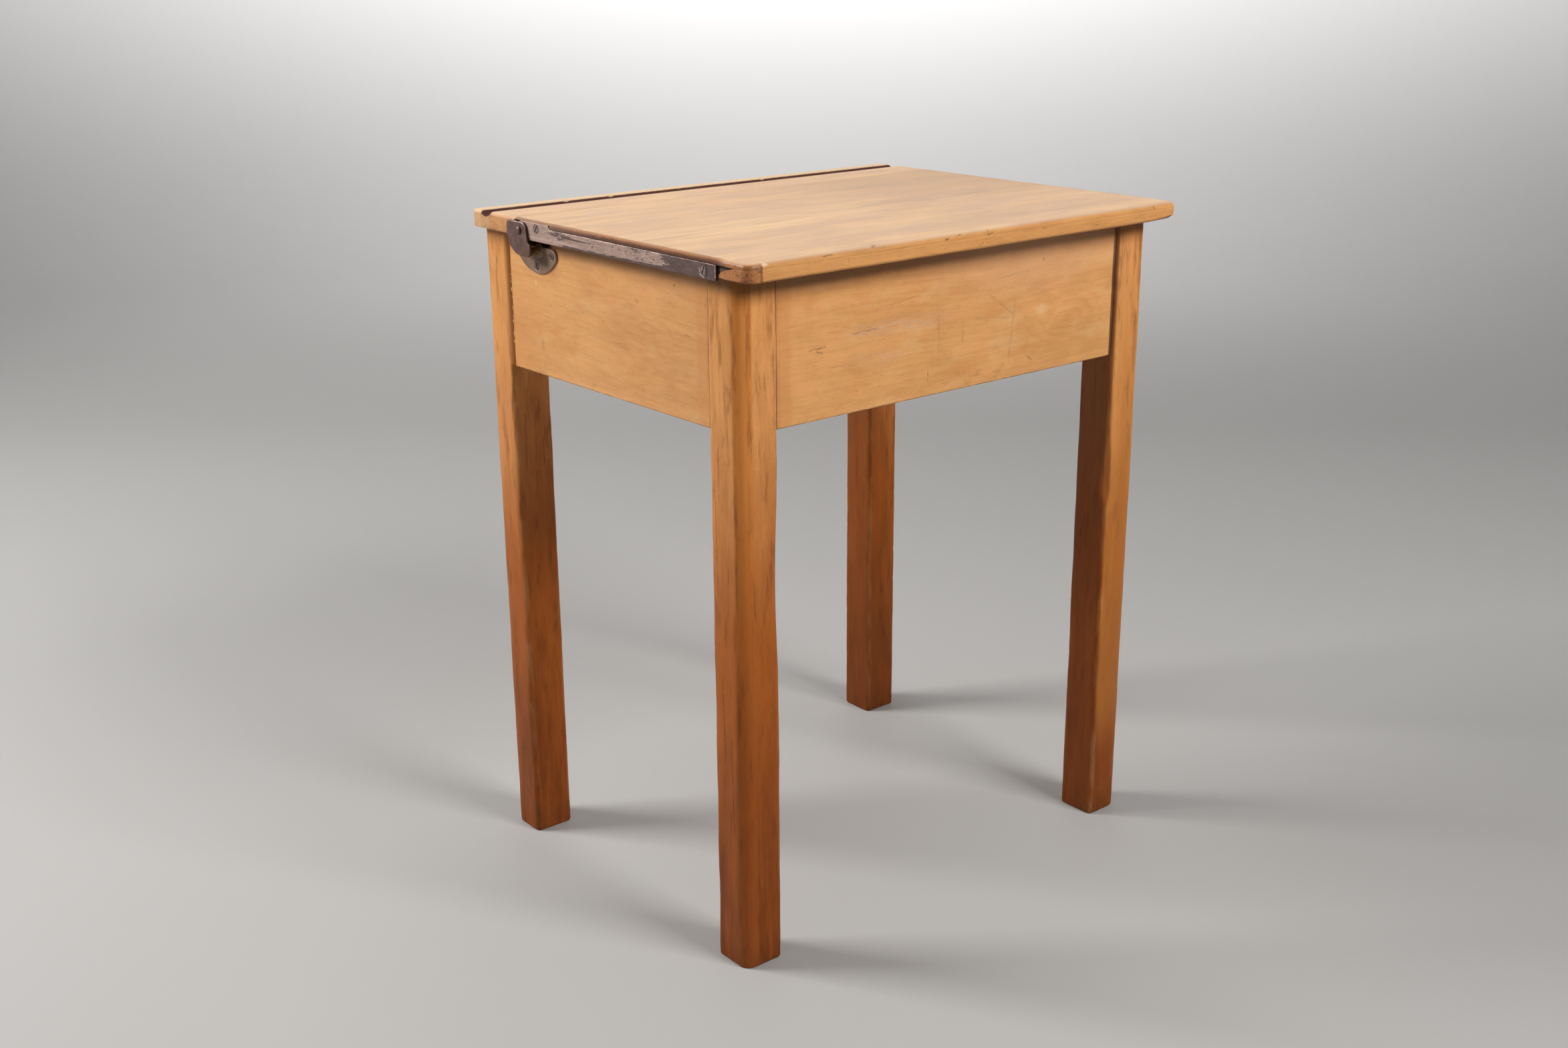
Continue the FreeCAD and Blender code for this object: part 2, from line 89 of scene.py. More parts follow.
SIDES = (("left", -1), ("right", 1))
PIVOT_Y, PIVOT_Z = (v / MM for v in frame["joints"][0]["pos_m"][1:])
PIVOT_DROP = 12.0        # from the top down to the hinge's axis
LID_BACK = 12.4          # from the axis back to the lid's rear edge, at the top
LEDGE_FRONT = 13.2       # from the axis back to the ledge's front edge, at the top
SCOOP_DROP = 18.06       # from the axis down to the scoop and the top of the base plate
PLATE_SHIFT = 7.5        # the base plate's middle lies in front of the axis
PLATE_THICK = 2.6
GROOVE_INSET = 30        # from the ledge's rear edge to the middle of its groove
LEG_ROUND, LEG_ARRIS = 14.0, 6.5        # radii of a leg's outer corner and of the others
REBATE = 3.2             # depth of the strap's rebate in the lid's end
REBATE_DROP = 6.0        # lip of wood left over the strap
TAB_DROP = 1.8           # lip left over the strap's taller tab
STRAP_GAP = 2.0          # between the strap's front end and the wood
SLOT_REACH = 28.5        # how far the open saw slot runs on in front of that gap
SLOT_SLOPE = 28          # length over which it closes up
TAB_BASE, TAB_SHOULDER = 54.9, 51.5     # where the strap steps up, in front of the axis

# Screws as (y, z, angle of the slot in degrees)
STRAP_SCREWS = ((PIVOT_Y - 29.0, PIVOT_Z + 4.0, 122.0), (-178.8, PIVOT_Z - 2.1, 106.0))
PLATE_SCREWS = tuple((PIVOT_Y - PLATE_SHIFT + 40 * math.cos(math.radians(a)),
                      PIVOT_Z + 40 * math.sin(math.radians(a)), turn)
                     for a, turn in ((-140, 20.0), (-90, 68.0), (-40, 76.0)))

# Marks as (start, end, half width, strength), each in two of the desk's own directions
FRONT_EDGE_MARKS = (
    ((5, 762), (3, 751), 0.7, 0.9), ((2, 756), (15, 759), 0.8, 0.9),
    ((-2, 750), (-8, 747), 0.6, 0.5), ((-58, 758), (-52, 759), 1.2, 0.9),
    ((-42, 760), (-34, 761), 0.8, 0.7),
    ((-224, 759), (-206, 760), 1.0, 0.8), ((-187, 754), (-186, 750), 0.9, 0.8),
    ((-156, 761), (-146, 762), 0.9, 0.6), ((86, 755), (95, 755), 0.7, 0.6),
    ((165, 751), (176, 750), 0.6, 0.5), ((268, 760), (271, 757), 0.8, 0.9))
FRONT_APRON_MARKS = (
    ((-151, 670), (-115, 671), 0.8, 0.95), ((-208, 661), (-186, 662), 0.9, 0.8),
    ((-199, 659), (-190, 656), 0.8, 0.8), ((-44, 616), (-44, 604), 0.8, 0.7),
    ((7, 658), (6, 636), 1.3, 0.3), ((86, 672), (78, 610), 2.0, 0.25),
    ((44, 686), (90, 654), 1.8, 0.25), ((20, 662), (88, 655), 1.4, 0.28),
    ((-31, 684), (-28, 634), 2.4, 0.2), ((-148, 611), (-133, 607), 0.8, 0.7),
    ((105, 610), (116, 604), 0.9, 0.7), ((-120, 690), (-60, 697), 1.0, 0.3),
    ((-180, 640), (-150, 638), 0.9, 0.35), ((60, 700), (130, 706), 1.0, 0.3))
SIDE_APRON_MARKS = (
    ((128, 655), (119, 655), 0.9, 0.6), ((-9, 648), (-16, 648), 1.0, 0.6),
    ((-128, 676), (-136, 675), 0.8, 0.7), ((-162, 713), (-162, 704), 1.0, 0.8),
    ((-135, 615), (-146, 613), 1.1, 0.6), ((100, 672), (60, 668), 0.8, 0.3))
LEG_CRACKS = (
    ((-178, 420), (-176, 560), 0.8, 0.5), ((-186, 236), (-183, 330), 0.9, 1.0),
    ((-199, 150), (-197, 232), 1.0, 1.0))
GROOVE_CHIPS = (-198.0, -136.0, 92.0)


# --- Settings ---------------------------------------------------------------------


def colour(name, description, value):
    return FloatVectorProperty(name=name, description=description, default=value,
                               subtype="COLOR", size=3, min=0.0, max=1.0)


def length(name, description, value):
    return FloatProperty(name=name, description=description, default=value * MM,
                         subtype="DISTANCE", unit="LENGTH", min=0.0, precision=4)


def power(name, description, value):
    return FloatProperty(name=name, description=description, default=value,
                         subtype="POWER", unit="POWER", min=0.0)


class DeskWoodSettings(bpy.types.PropertyGroup):
    top: colour("Top", "Worn, paled beech of the lid and the ledge", linear(209, 171, 138))
    top_edge: colour("Top edges", "Varnish left on the edges of the top", linear(204, 145, 84))
    apron: colour("Aprons", "Honey beech of the aprons", linear(210, 151, 92))
    # The leg colours darken towards the feet: partly deeper varnish, partly painted shade of the
    # lower legs
    leg: colour("Legs, upper", "Legs near the aprons", linear(208, 144, 84))
    leg_middle: colour("Legs, middle", "Deeper varnish halfway down", linear(158, 85, 26))
    leg_low: colour("Legs, lower", "Deepest varnish near the feet", linear(123, 61, 14))
    bare: colour("Bare wood", "Bearers, dowels and fresh chips", linear(222, 184, 138))
    panel: colour("Locker panel", "Thin panel in the bottom of the locker", linear(204, 160, 112))
    dirt: colour("Dirt", "Grime in joints, dents and scratches", linear(66, 42, 26))
    ink: colour("Ink", "Ink and dirt in the pen groove", linear(84, 48, 43))
    filler: colour("Filler", "Old glue squeezed out of a joint", linear(236, 212, 160))


class DeskSteelSettings(bpy.types.PropertyGroup):
    bare: colour("Bare steel", "Rubbed steel of the straps", linear(186, 158, 147))
    paint: colour("Paint", "Dark paint left on the straps", linear(86, 61, 55))
    arm: colour("Arm", "Paint of the bracket's arm", linear(95, 67, 61))
    plate: colour("Base plate", "Grey of the bracket's base plate", linear(131, 103, 82))
    grease: colour("Grease", "Old grease on the bracket's post", linear(96, 66, 30))
    screw: colour("Screws", "Tarnished screw heads", linear(128, 108, 102))


class DeskWearSettings(bpy.types.PropertyGroup):
    arris: length("Arris wear", "How unevenly the arrises are rounded over", 0.9)
    dent: length("Dents", "Depth of the small dents along the arrises", 0.8)
    corner: length("Worn corner", "Radius of the lid's front left corner underneath", 15.5)
    seed: IntProperty(name="Seed", description="Picks the pattern of wear", default=11, min=0)


class DeskStageSettings(bpy.types.PropertyGroup):
    floor: colour("Floor", "Plain pale floor", (0.42, 0.415, 0.41))
    left_power: power("Left light", "Power of the soft light at the left", 136.0)
    front_power: power("Front light", "Power of the soft light in front", 114.0)
    backdrop_power: power("Backdrop light", "Power of the light on the backdrop", 105.0)
    top_power: power("Top light", "Power of the overhead light", 15.0)
    sky: FloatProperty(name="Surroundings", description="Brightness of the surroundings",
                       default=0.05, min=0.0)
    lens: FloatProperty(name="Lens", description="Focal length of the camera",
                        default=40.706, subtype="DISTANCE_CAMERA", min=1.0)


# --- Shader and geometry trees ----------------------------------------------------


def operator(operation, swapped=False):
    """A method that adds a Math node between a socket and another value."""
    def apply(self, other):
        return self.tree.math(operation, *((other, self) if swapped else (self, other)))
    return apply


class Socket:
    """A socket in an expression, whose operators add the Math nodes."""

    def __init__(self, tree, socket):
        self.tree = tree
        self.socket = socket

    __add__, __radd__ = operator("ADD"), operator("ADD", True)
    __sub__, __rsub__ = operator("SUBTRACT"), operator("SUBTRACT", True)
    __mul__, __rmul__ = operator("MULTIPLY"), operator("MULTIPLY", True)
    __truediv__, __pow__ = operator("DIVIDE"), operator("POWER")

    def __abs__(self):
        return self.tree.math("ABSOLUTE", self)


class Tree:
    """A node tree that is filled by expressions."""

    def __init__(self, nodes):
        self.nodes = nodes

    def node(self, kind, settings=None, inputs=None, output=0):
        """Adds a node, with its settings first and its sockets after, and gives one output."""
        made = self.nodes.nodes.new(kind)
        for name, value in (settings or {}).items():
            setattr(made, name, value)
        for name, value in (inputs or {}).items():
            if isinstance(value, Socket):
                self.nodes.links.new(value.socket, made.inputs[name])
            else:
                made.inputs[name].default_value = value
        return Socket(self, made.outputs[output]) if made.outputs else made

    def math(self, operation, *values):
        return self.node("ShaderNodeMath", {"operation": operation}, dict(enumerate(values)))

    def least(self, a, b):
        return self.math("MINIMUM", a, b)

    def most(self, a, b):
        return self.math("MAXIMUM", a, b)

    def rise(self, value, low, high, start=0.0, stop=1.0):
        """0 below low, 1 above high, smooth between."""
        return self.node("ShaderNodeMapRange", {"interpolation_type": "SMOOTHSTEP"},
                         {0: value, 1: low, 2: high, 3: start, 4: stop})

    def fall(self, value, low, high):
        """1 below low, 0 above high, smooth between."""
        return self.rise(value, low, high, 1.0, 0.0)

    def within(self, value, low, high, soft):
        """1 between low and high, with soft ends."""
        return self.rise(value, low - soft, low) * self.fall(value, high, high + soft)

    def noise(self, x, y, z, detail=2.0, rough=0.5):
        """Noise over three numbers, with features about one unit wide, from 0 to 1."""
        place = self.node("ShaderNodeCombineXYZ", None, {0: x, 1: y, 2: z})
        return self.node("ShaderNodeTexNoise", {"noise_dimensions": "3D"},
                         {"Vector": place, "Scale": 1.0, "Detail": detail, "Roughness": rough})

    def patches(self, x, y, z, low, high, detail=4.0, rough=0.6):
        """Mask of the places where the noise is high."""
        return self.rise(self.noise(x, y, z, detail, rough), low, high)


class Finish(Tree):
    """A material whose sockets are reached in millimetres of the desk's frame."""

    def __init__(self, name):
        self.material = bpy.data.materials.new(name)
        self.material.use_nodes = True
        super().__init__(self.material.node_tree)
        self.nodes.nodes.clear()
        place = self.node("ShaderNodeTexCoord", output="Object")
        self.x, self.y, self.z = (part / MM for part in self.split(place))
        facing = self.node("ShaderNodeTexCoord", output="Normal")
        self.nx, self.ny, self.nz = self.split(facing)
        self.base = None

    def split(self, vector):
        parts = self.node("ShaderNodeSeparateXYZ", None, {0: vector}).socket.node.outputs
        return [Socket(self, part) for part in parts]

    def mix(self, first, second, factor):
        """Blend of two colours, given as sockets or as three numbers."""
        def ready(value):
            return value if isinstance(value, Socket) else (*value, 1.0)
        return self.node("ShaderNodeMix", {"data_type": "RGBA"},
                         {0: factor, 6: ready(first), 7: ready(second)}, 2)

    def stroke(self, u, v, start, end, half_width):
        """Mask of a straight scratch between two places (u, v)."""
        du, dv = end[0] - start[0], end[1] - start[1]
        size = math.hypot(du, dv)
        du, dv = du / size, dv / size
        run = u * du + v * dv - (start[0] * du + start[1] * dv)
        off = abs(u * dv - v * du - (start[0] * dv - start[1] * du))
        return (self.fall(off, half_width * 0.2, half_width * 1.4)
                * self.within(run, size * 0.15, size * 0.85, size * 0.25))

    def marks(self, u, v, places):
        """Mask of uneven, broken scratches (start, end, half width, strength)."""
        bend = self.noise(u / 9, v / 9, 3.0, 3.0, 0.62)
        broken = self.noise(u / 2.6, v / 1.6, 7.0, 2.0, 0.6)
        u, v = u + (broken - 0.5) * 2.5, v + (bend - 0.5) * 6
        mask = 0.0
        for start, end, half_width, strength in places:
            mask = self.most(mask, self.stroke(u, v, start, end, half_width) * strength)
        return mask * self.rise(broken + bend, 0.86, 1.02)

    def spot(self, u, v, centre, radii, soft=0.5):
        """Mask of an oval patch at a place (u, v)."""
        a = (u - centre[0]) / radii[0]
        b = (v - centre[1]) / radii[1]
        return self.fall((a * a + b * b) ** 0.5, 1.0 - soft, 1.0 + soft)

    def lay(self, colour, cover):
        """Lays a colour over the base, where and as strongly as the cover says."""
        self.base = self.mix(self.base, colour, cover)

    def close(self, rough, height, metal=0.0, coat=0.0, coat_rough=0.3, depth=0.0004,
              specular=0.5):
        """Ends the material in one shader, with the base as it has been laid."""
        bump = self.node("ShaderNodeBump", None,
                         {"Strength": 1.0, "Distance": depth, "Height": height})
        shader = self.node("ShaderNodeBsdfPrincipled", None, {
            "Base Color": self.base, "Roughness": rough, "Metallic": metal, "Coat Weight": coat,
            "Coat Roughness": coat_rough, "Specular IOR Level": specular, "Normal": bump})
        self.node("ShaderNodeOutputMaterial", None, {"Surface": shader})
        return self.material


def shade(rgb, factor):
    """A colour made darker or lighter, warmer as it darkens."""
    return tuple(max(0.0, min(1.0, c * factor ** power))
                 for c, power in zip(rgb, (0.85, 1.0, 1.25)))


# --- Finishes ---------------------------------------------------------------------


class Tone:
    """Scene-linear colours that the finishes lay over their base."""

    # Top of the lid and the ledge
    golden = (0.78, 0.52, 0.27)
    handled = (0.50, 0.345, 0.28)
    streak = (0.44, 0.27, 0.165)
    band = (0.44, 0.295, 0.215)
    lighter = (0.84, 0.60, 0.34)
    behind_groove = (0.78, 0.57, 0.31)
    deep_ink = (0.11, 0.05, 0.036)
    fresh_chip = (0.84, 0.62, 0.44)

    # Ends and lips of the lid and the ledge
    ledge_pore = (0.36, 0.165, 0.07)
    ledge_end = (0.60, 0.33, 0.18)
    lid_pore = (0.30, 0.105, 0.03)
    lid_end = (0.54, 0.215, 0.075)
    end_grime = (0.20, 0.085, 0.035)
    lip = (0.30, 0.13, 0.06)
    lip_rolled = (0.08, 0.034, 0.02)
    lip_rear = (0.19, 0.115, 0.09)
    lip_speck = (0.40, 0.19, 0.085)
    lip_shadow = (0.045, 0.025, 0.02)
    # Painted shade in the gap in front of each strap, and in the saw slot below the lip
    rebate = (0.02, 0.012, 0.01)
    slot = (0.10, 0.055, 0.05)
    slot_top_shade = (0.012, 0.008, 0.007)

    # Aprons
    amber = (0.56, 0.235, 0.06)
    pale = (0.70, 0.42, 0.19)
    joint_amber = (0.56, 0.225, 0.055)
    # Near black painted shade of the open joint at the right-hand ends of the front and rear
    # aprons
    crack = (0.05, 0.018, 0.008)
    side_crack = (0.30, 0.11, 0.03)
    seam = (0.30, 0.145, 0.10)
    # Near black painted shade in the side aprons' scoop under the lid's turning edge
    scoop_shade = (0.022, 0.013, 0.010)
    dusty = (0.40, 0.30, 0.24)
    bloom = (0.50, 0.385, 0.32)
    rubbed_spot = (0.76, 0.53, 0.29)
    rosy = (0.60, 0.34, 0.20)
    glue_line = (0.40, 0.15, 0.04)
    glue_crumb = (0.86, 0.68, 0.42)
    glow = (0.56, 0.215, 0.05)

    # Legs
    # Strip over a leg's outer round: partly varnish left in it, partly painted shade of the round
    strip_high = (0.57, 0.185, 0.030)
    strip_low = (0.29, 0.072, 0.010)
    strip_rim = (0.115, 0.045, 0.015)
    rubbed_arris = (0.66, 0.40, 0.20)
    scuffed = (0.60, 0.44, 0.28)
    # Painted light: a paler amber on the front right leg's faces other than its inner one
    right_leg = (0.60, 0.25, 0.055)
    deep_red = (0.36, 0.085, 0.012)
    end_grain = (0.30, 0.18, 0.10)

    # Straps, brackets and fasteners
    strap_rust = (0.235, 0.125, 0.075)
    # Painted shade on the straps' lower edges, round their screws and on their ends, and at the
    # plates' back edges
    strap_under_shade = (0.075, 0.038, 0.032)
    strap_shade = (0.02, 0.013, 0.011)
    plate_rust = (0.21, 0.095, 0.045)
    old_grease = (0.17, 0.12, 0.045)
    plate_edge_shade = (0.02, 0.014, 0.012)
    screw_rust = (0.20, 0.10, 0.05)

    # Painted shadow with grime right under the lid, ink spots in the locker, backdrop
    lid_shadow_and_grime = (0.040, 0.020, 0.012)
    spilt_ink = (0.05, 0.05, 0.11)
    wall = (0.86, 0.86, 0.86)


class Grain:
    """Beech grain: u runs along the board, v across its face and w through it."""

    def __init__(self, s, u, v, w, seed, fibre=1.0, dashes=0.45):
        self.s, self.u, self.v, self.w = s, u, v, w
        sway = s.noise(u / 260 + seed, v / 75, w / 75, 2.0) - 0.5
        self.v_swayed = v + sway * 30
        self.hair = s.noise(u / 30 + seed, self.v_swayed / 0.8, w / 0.8, 3.0, 0.6)
        self.streak = s.noise(u / 190, self.v_swayed / 5.0 + seed, w / 5.0, 4.0, 0.6)
        self.broad = s.noise(u / 300, v / 48, w / 48 + seed, 3.0, 0.5)
        cloud = s.noise(u / 65, v / 27, w / 27 + seed, 4.0, 0.6)
        dash = s.noise(u / 13 + seed, self.v_swayed / 1.5, w / 1.5, 2.0, 0.5)
        fleck = s.noise(u / 4.2, v / 0.5, w / 0.5 + seed, 1.0)
        self.fleck = s.rise(fleck, 0.70, 0.80) * s.rise(self.broad, 0.35, 0.65)
        grit = s.noise(u / 2.6 + seed, v / 1.3, w / 1.3, 2.0, 0.6)
        self.dash = s.rise(dash, 0.60, 0.76)
        self.cloud = cloud
        self.amber = 0.0
        self.tone = (0.55 + (self.hair - 0.5) * (0.8 * fibre) + (self.streak - 0.5) * 0.8
                     + (self.broad - 0.5) * 0.9 + (cloud - 0.5) * 1.1 + (grit - 0.5) * 0.5
                     - self.dash * dashes)

    def flame(self, centre, reach, pitch, strength, stretch=6.5):
        """Nested pointed arches of flat-sawn figure round a place (u, v)."""
        s = self.s
        du = (self.u - centre[0]) / stretch
        dv = self.v_swayed - centre[1]
        far = (du * du + dv * dv) ** 0.5
        wave = s.math("SINE", far * (2 * math.pi / pitch) + (self.streak - 0.5) * 6
                      + (self.cloud - 0.5) * 9)
        patchy = s.patches(self.u / 45, self.v / 16, centre[0] / 50, 0.3, 0.6, 2.0, 0.5)
        line = s.rise(wave, 0.1, 1.0) * s.fall(far, reach * 0.3, reach) * patchy
        self.tone = self.tone - line * strength
        self.amber = s.most(self.amber, line * (strength * 3))
        return self

    def colour(self, base, contrast=0.2):
        """The grain in one wood's colours, drifting between pinker and yellower."""
        s = self.s
        tone = s.mix(shade(base, 1 - contrast), shade(base, 1 + contrast * 0.75),
                     s.rise(self.tone, 0.0, 1.0))
        drift = s.noise(self.u / 120 + 7, self.v / 40, self.w / 40, 2.0)
        pink = (min(1, base[0] * 1.02), base[1] * 0.9, base[2] * 0.96)
        tone = s.mix(tone, pink, s.rise(drift, 0.5, 0.75) * 0.35)
        tone = s.mix(tone, (base[0] * 0.94, base[1] * 0.74, base[2] * 0.45), self.amber)
        return s.mix(tone, shade(base, 0.5), self.fleck * 0.45)

    def relief(self):
        return self.hair * 0.3 + self.streak * 0.12 - self.fleck * 0.5 - self.dash * 0.15


def smudges(s, u, v, w, size, seed, low=0.58, high=0.78):
    """Soft patches of hand dirt, longer along the grain."""
    return s.patches(u / (size * 2.2) + seed, v / size, w / size, low, high, 4.0, 0.62)


def scratches(s, u, v, seed, angle, size=60.0):
    """Sparse fine scratches that run one way."""
    turn_u, turn_v = math.cos(angle), math.sin(angle)
    run = u * turn_u + v * turn_v
    off = v * turn_u - u * turn_v
    line = s.noise(run / size + seed, off / 0.55, seed, 1.0)
    patch = s.noise(run / 40, off / 22 + seed, seed, 2.0)
    return s.rise(line, 0.72, 0.76) * s.rise(patch, 0.52, 0.66)


def top_wood(name, wood, low, high, ledge=False):
    """Paled, handled top with darker varnish left on its edges, and painted shade with dirt on its
    lower arris, by the straps and in the saw slots.
    """
    s = Finish(name)
    x, y, z = s.x, s.y, s.z
    seed = 5.3 if ledge else 1.7
    grain = Grain(s, x, y, z * 3, seed, 0.8, 0.12)
    if not ledge:
        grain.flame((250, 96), 60, 9, 0.10, 9.0).flame((60, -60), 70, 11, 0.08, 12.0)
    s.base = grain.colour(wood.top, 0.115)
    worn = grain.colour(wood.top_edge, 0.19)
    side = s.rise(high[2] - z + (grain.streak - 0.5) * 0.9, 0.12, 2.6)
    golden = s.patches(x / 150 + seed, y / 30, 2.0, 0.42, 0.62)
    s.lay(Tone.golden, golden * 0.52)
    handled = s.patches(x / 95 + seed, y / 24, z / 24, 0.50, 0.72, 4.0, 0.62)
    s.lay(Tone.handled, handled * 0.48)
    streaky = s.patches(x / 150, y / 3.6, z / 9 + seed, 0.44, 0.66, 5.0, 0.62)
    streaky = streaky * s.patches(x / 130, y / 34, seed, 0.44, 0.64, 3.0, 0.5)
    s.lay(Tone.streak, streaky * 0.2)
    if not ledge:
        rear_right = s.rise(x + y * 0.7, -60, 300) * s.rise(y, -170, 40)
        s.lay(shade(wood.top, 0.80), rear_right * 0.62)
        for at, reach, strength in (((145, -34), (150, 15), 0.60), ((215, 82), (130, 20), 0.5),
                                    ((-140, -176), (120, 16), 0.22), ((-284, -168), (40, 14), 0.4),
                                    ((90, -190), (130, 26), 0.34), ((-40, 20), (190, 12), 0.24)):
            band = s.spot(x, y + (grain.broad - 0.5) * 40, at, reach, 0.8)
            band = band * s.patches(x / 90, y / 5, at[0], 0.3, 0.62)
            s.lay(Tone.band, band * strength)
        lighter = s.spot(x, y, (-178, -60), (150, 44), 0.9) * s.rise(grain.streak, 0.35, 0.65)
        s.lay(Tone.lighter, lighter * 0.45)
    marks = s.most(scratches(s, x, y, seed + 1, 0.5), scratches(s, x, y, seed + 2, -0.9, 80))
    s.lay(wood.dirt, marks * 0.22)
    s.lay(worn, side)
    # Dirt on the edges; along the lower arris, dirt with painted shade, weaker on faces turned
    # down
    under = s.fall(z, low[2] + 0.6, low[2] + 3.5)
    grime = smudges(s, x, y, z * 3, 9, seed + 5, 0.5, 0.72)
    beneath = s.fall(s.nz, -0.9, -0.5)
    s.lay(wood.dirt, side * grime * 0.16 + under * (0.5 - beneath * 0.3))
    if ledge:
        s.lay(Tone.behind_groove, s.rise(y, 208, 212) * 0.5)
        groove = high[1] - GROOVE_INSET
        ragged = (s.noise(x / 7, y / 14, 3.0, 3.0) - 0.5) * 0.5
        for at in GROOVE_CHIPS:
            ragged = ragged + s.spot(x, y, (at, 227), (2.6, 1.8), 0.8) * 0.6
        inside = s.fall(abs(y - groove) + ragged, 9.5, 10.0) * s.rise(s.nz, 0.02, 0.1)
        ink_worn = s.noise(x / 40, y / 3.0, 1.0, 4.0, 0.6)
        ink = s.mix(wood.ink, Tone.deep_ink, s.rise(ink_worn, 0.45, 0.75))
        s.lay(ink, inside)
        grain.hair = grain.hair * (1 - inside)
        halo = s.fall(abs(y - groove) + ragged * 1.5, 9.8, 12.5) * 0.22
        s.lay(shade(wood.dirt, 1.5), halo * (1 - inside))
    end = s.rise(abs(s.nx), 0.6, 0.85)
    pores = s.noise(x / 4, y / 0.7, z / 0.7 + seed, 3.0, 0.7)
    border = x + (grain.hair - 0.5) * 2 + (pores - 0.5) * 4
    if not ledge:
        end = s.most(end, s.fall(border, -294.2, -292.8) * s.fall(y, -225, -215) * side)
    tones = (Tone.ledge_pore, Tone.ledge_end) if ledge else (Tone.lid_pore, Tone.lid_end)
    end_tone = s.mix(*tones, s.rise(pores, 0.3, 0.7))
    handled = smudges(s, x, y / 2, z, 6, seed, 0.42, 0.66)
    end_tone = s.mix(end_tone, Tone.end_grime, handled * 0.6)
    if not ledge:
        pits = smudges(s, x / 1.6, y, z, 2.6, 9.1, 0.56, 0.66)
        end_tone = s.mix(end_tone, wood.dirt, pits * s.fall(y, -228, -212) * 0.85)
        crease = s.within(border, -295.8, -293.8, 0.8) * s.fall(y, -240, -236)
        end_tone = s.mix(end_tone, wood.dirt, crease * 0.5)
    s.lay(end_tone, end * (0.45 if ledge else 0.94))
    if not ledge:
        greasy = s.noise(y / 18, z / 3, x / 40, 4.0, 0.6)
        ragged = (greasy - 0.5) * 3.0
        lip = s.rise(abs(x) + ragged, 306.1, 307.2) * s.rise(z, 753, 755) * s.rise(y, -222, -196)
        rolled = s.fall(z + ragged, 758.2, 761.6)
        lip_tone = s.mix(Tone.lip, Tone.lip_rolled, rolled)
        lip_tone = s.mix(lip_tone, Tone.lip_rear, s.rise(y, -20, 100) * 0.6)
        lip_tone = s.mix(lip_tone, Tone.lip_speck, s.rise(pores, 0.52, 0.66) * 0.55)
        s.lay(lip_tone, lip * (0.78 + rolled * 0.2))
        s.lay(Tone.lip_shadow, lip * s.fall(z + ragged * 0.4, 756.2, 757.4) * 0.8)
        # Painted shade: a near black strip in the gap in front of each strap's end
        beside = s.within(y, -200.5, -197.5, 0.4) * s.rise(abs(x), 305, 306)
        s.lay(Tone.rebate, beside * s.fall(z, 756, 757))
        # Painted shade in the saw slot in front of the strap: grey brown, near black up under the
        # lip
        hollow = s.fall(abs(x), 308.4, 309.4) * s.within(y, -229.5, -198, 1)
        hollow = hollow * s.fall(z, 755.8, 756.4) * s.rise(z, 744.6, 745.4)
        hollow = hollow * s.rise(abs(x), 305, 306)
        slot_shade = s.mix(Tone.slot, Tone.slot_top_shade, s.rise(z, 750.5, 754))
        s.lay(slot_shade, hollow * 0.92)
        chip = s.spot(x, z + pores * 3, (-290.8, 761.6), (3.4, 1.6), 0.6)
        s.lay(Tone.fresh_chip, chip * s.fall(y, -240, -234) * 0.7)
    edge_nicks = smudges(s, x, y, z, 2.2, 2.2, 0.66, 0.78) * side * (1 - end) * (1 - under)
    s.lay(wood.dirt, edge_nicks * 0.35)
    if not ledge:
        nicks = s.marks(x, z, FRONT_EDGE_MARKS) * s.fall(y, -242, -234)
        s.lay(wood.dirt, nicks * 0.75)
        marks = s.most(marks, nicks)
        seam = s.fall(abs(y + 43.4), 0.25, 0.7) * s.rise(s.nz, 0.5, 0.8)
        s.lay(wood.dirt, seam * 0.4)
    rough = 0.52 + (grain.hair - 0.5) * 0.25 + marks * 0.15 - side * 0.08
    rough = s.most(rough, inside if ledge else lip * 0.9)
    relief = grain.relief() - marks * 0.6 - edge_nicks * 1.2
    return s.close(rough, relief, depth=0.00018, specular=0.32)


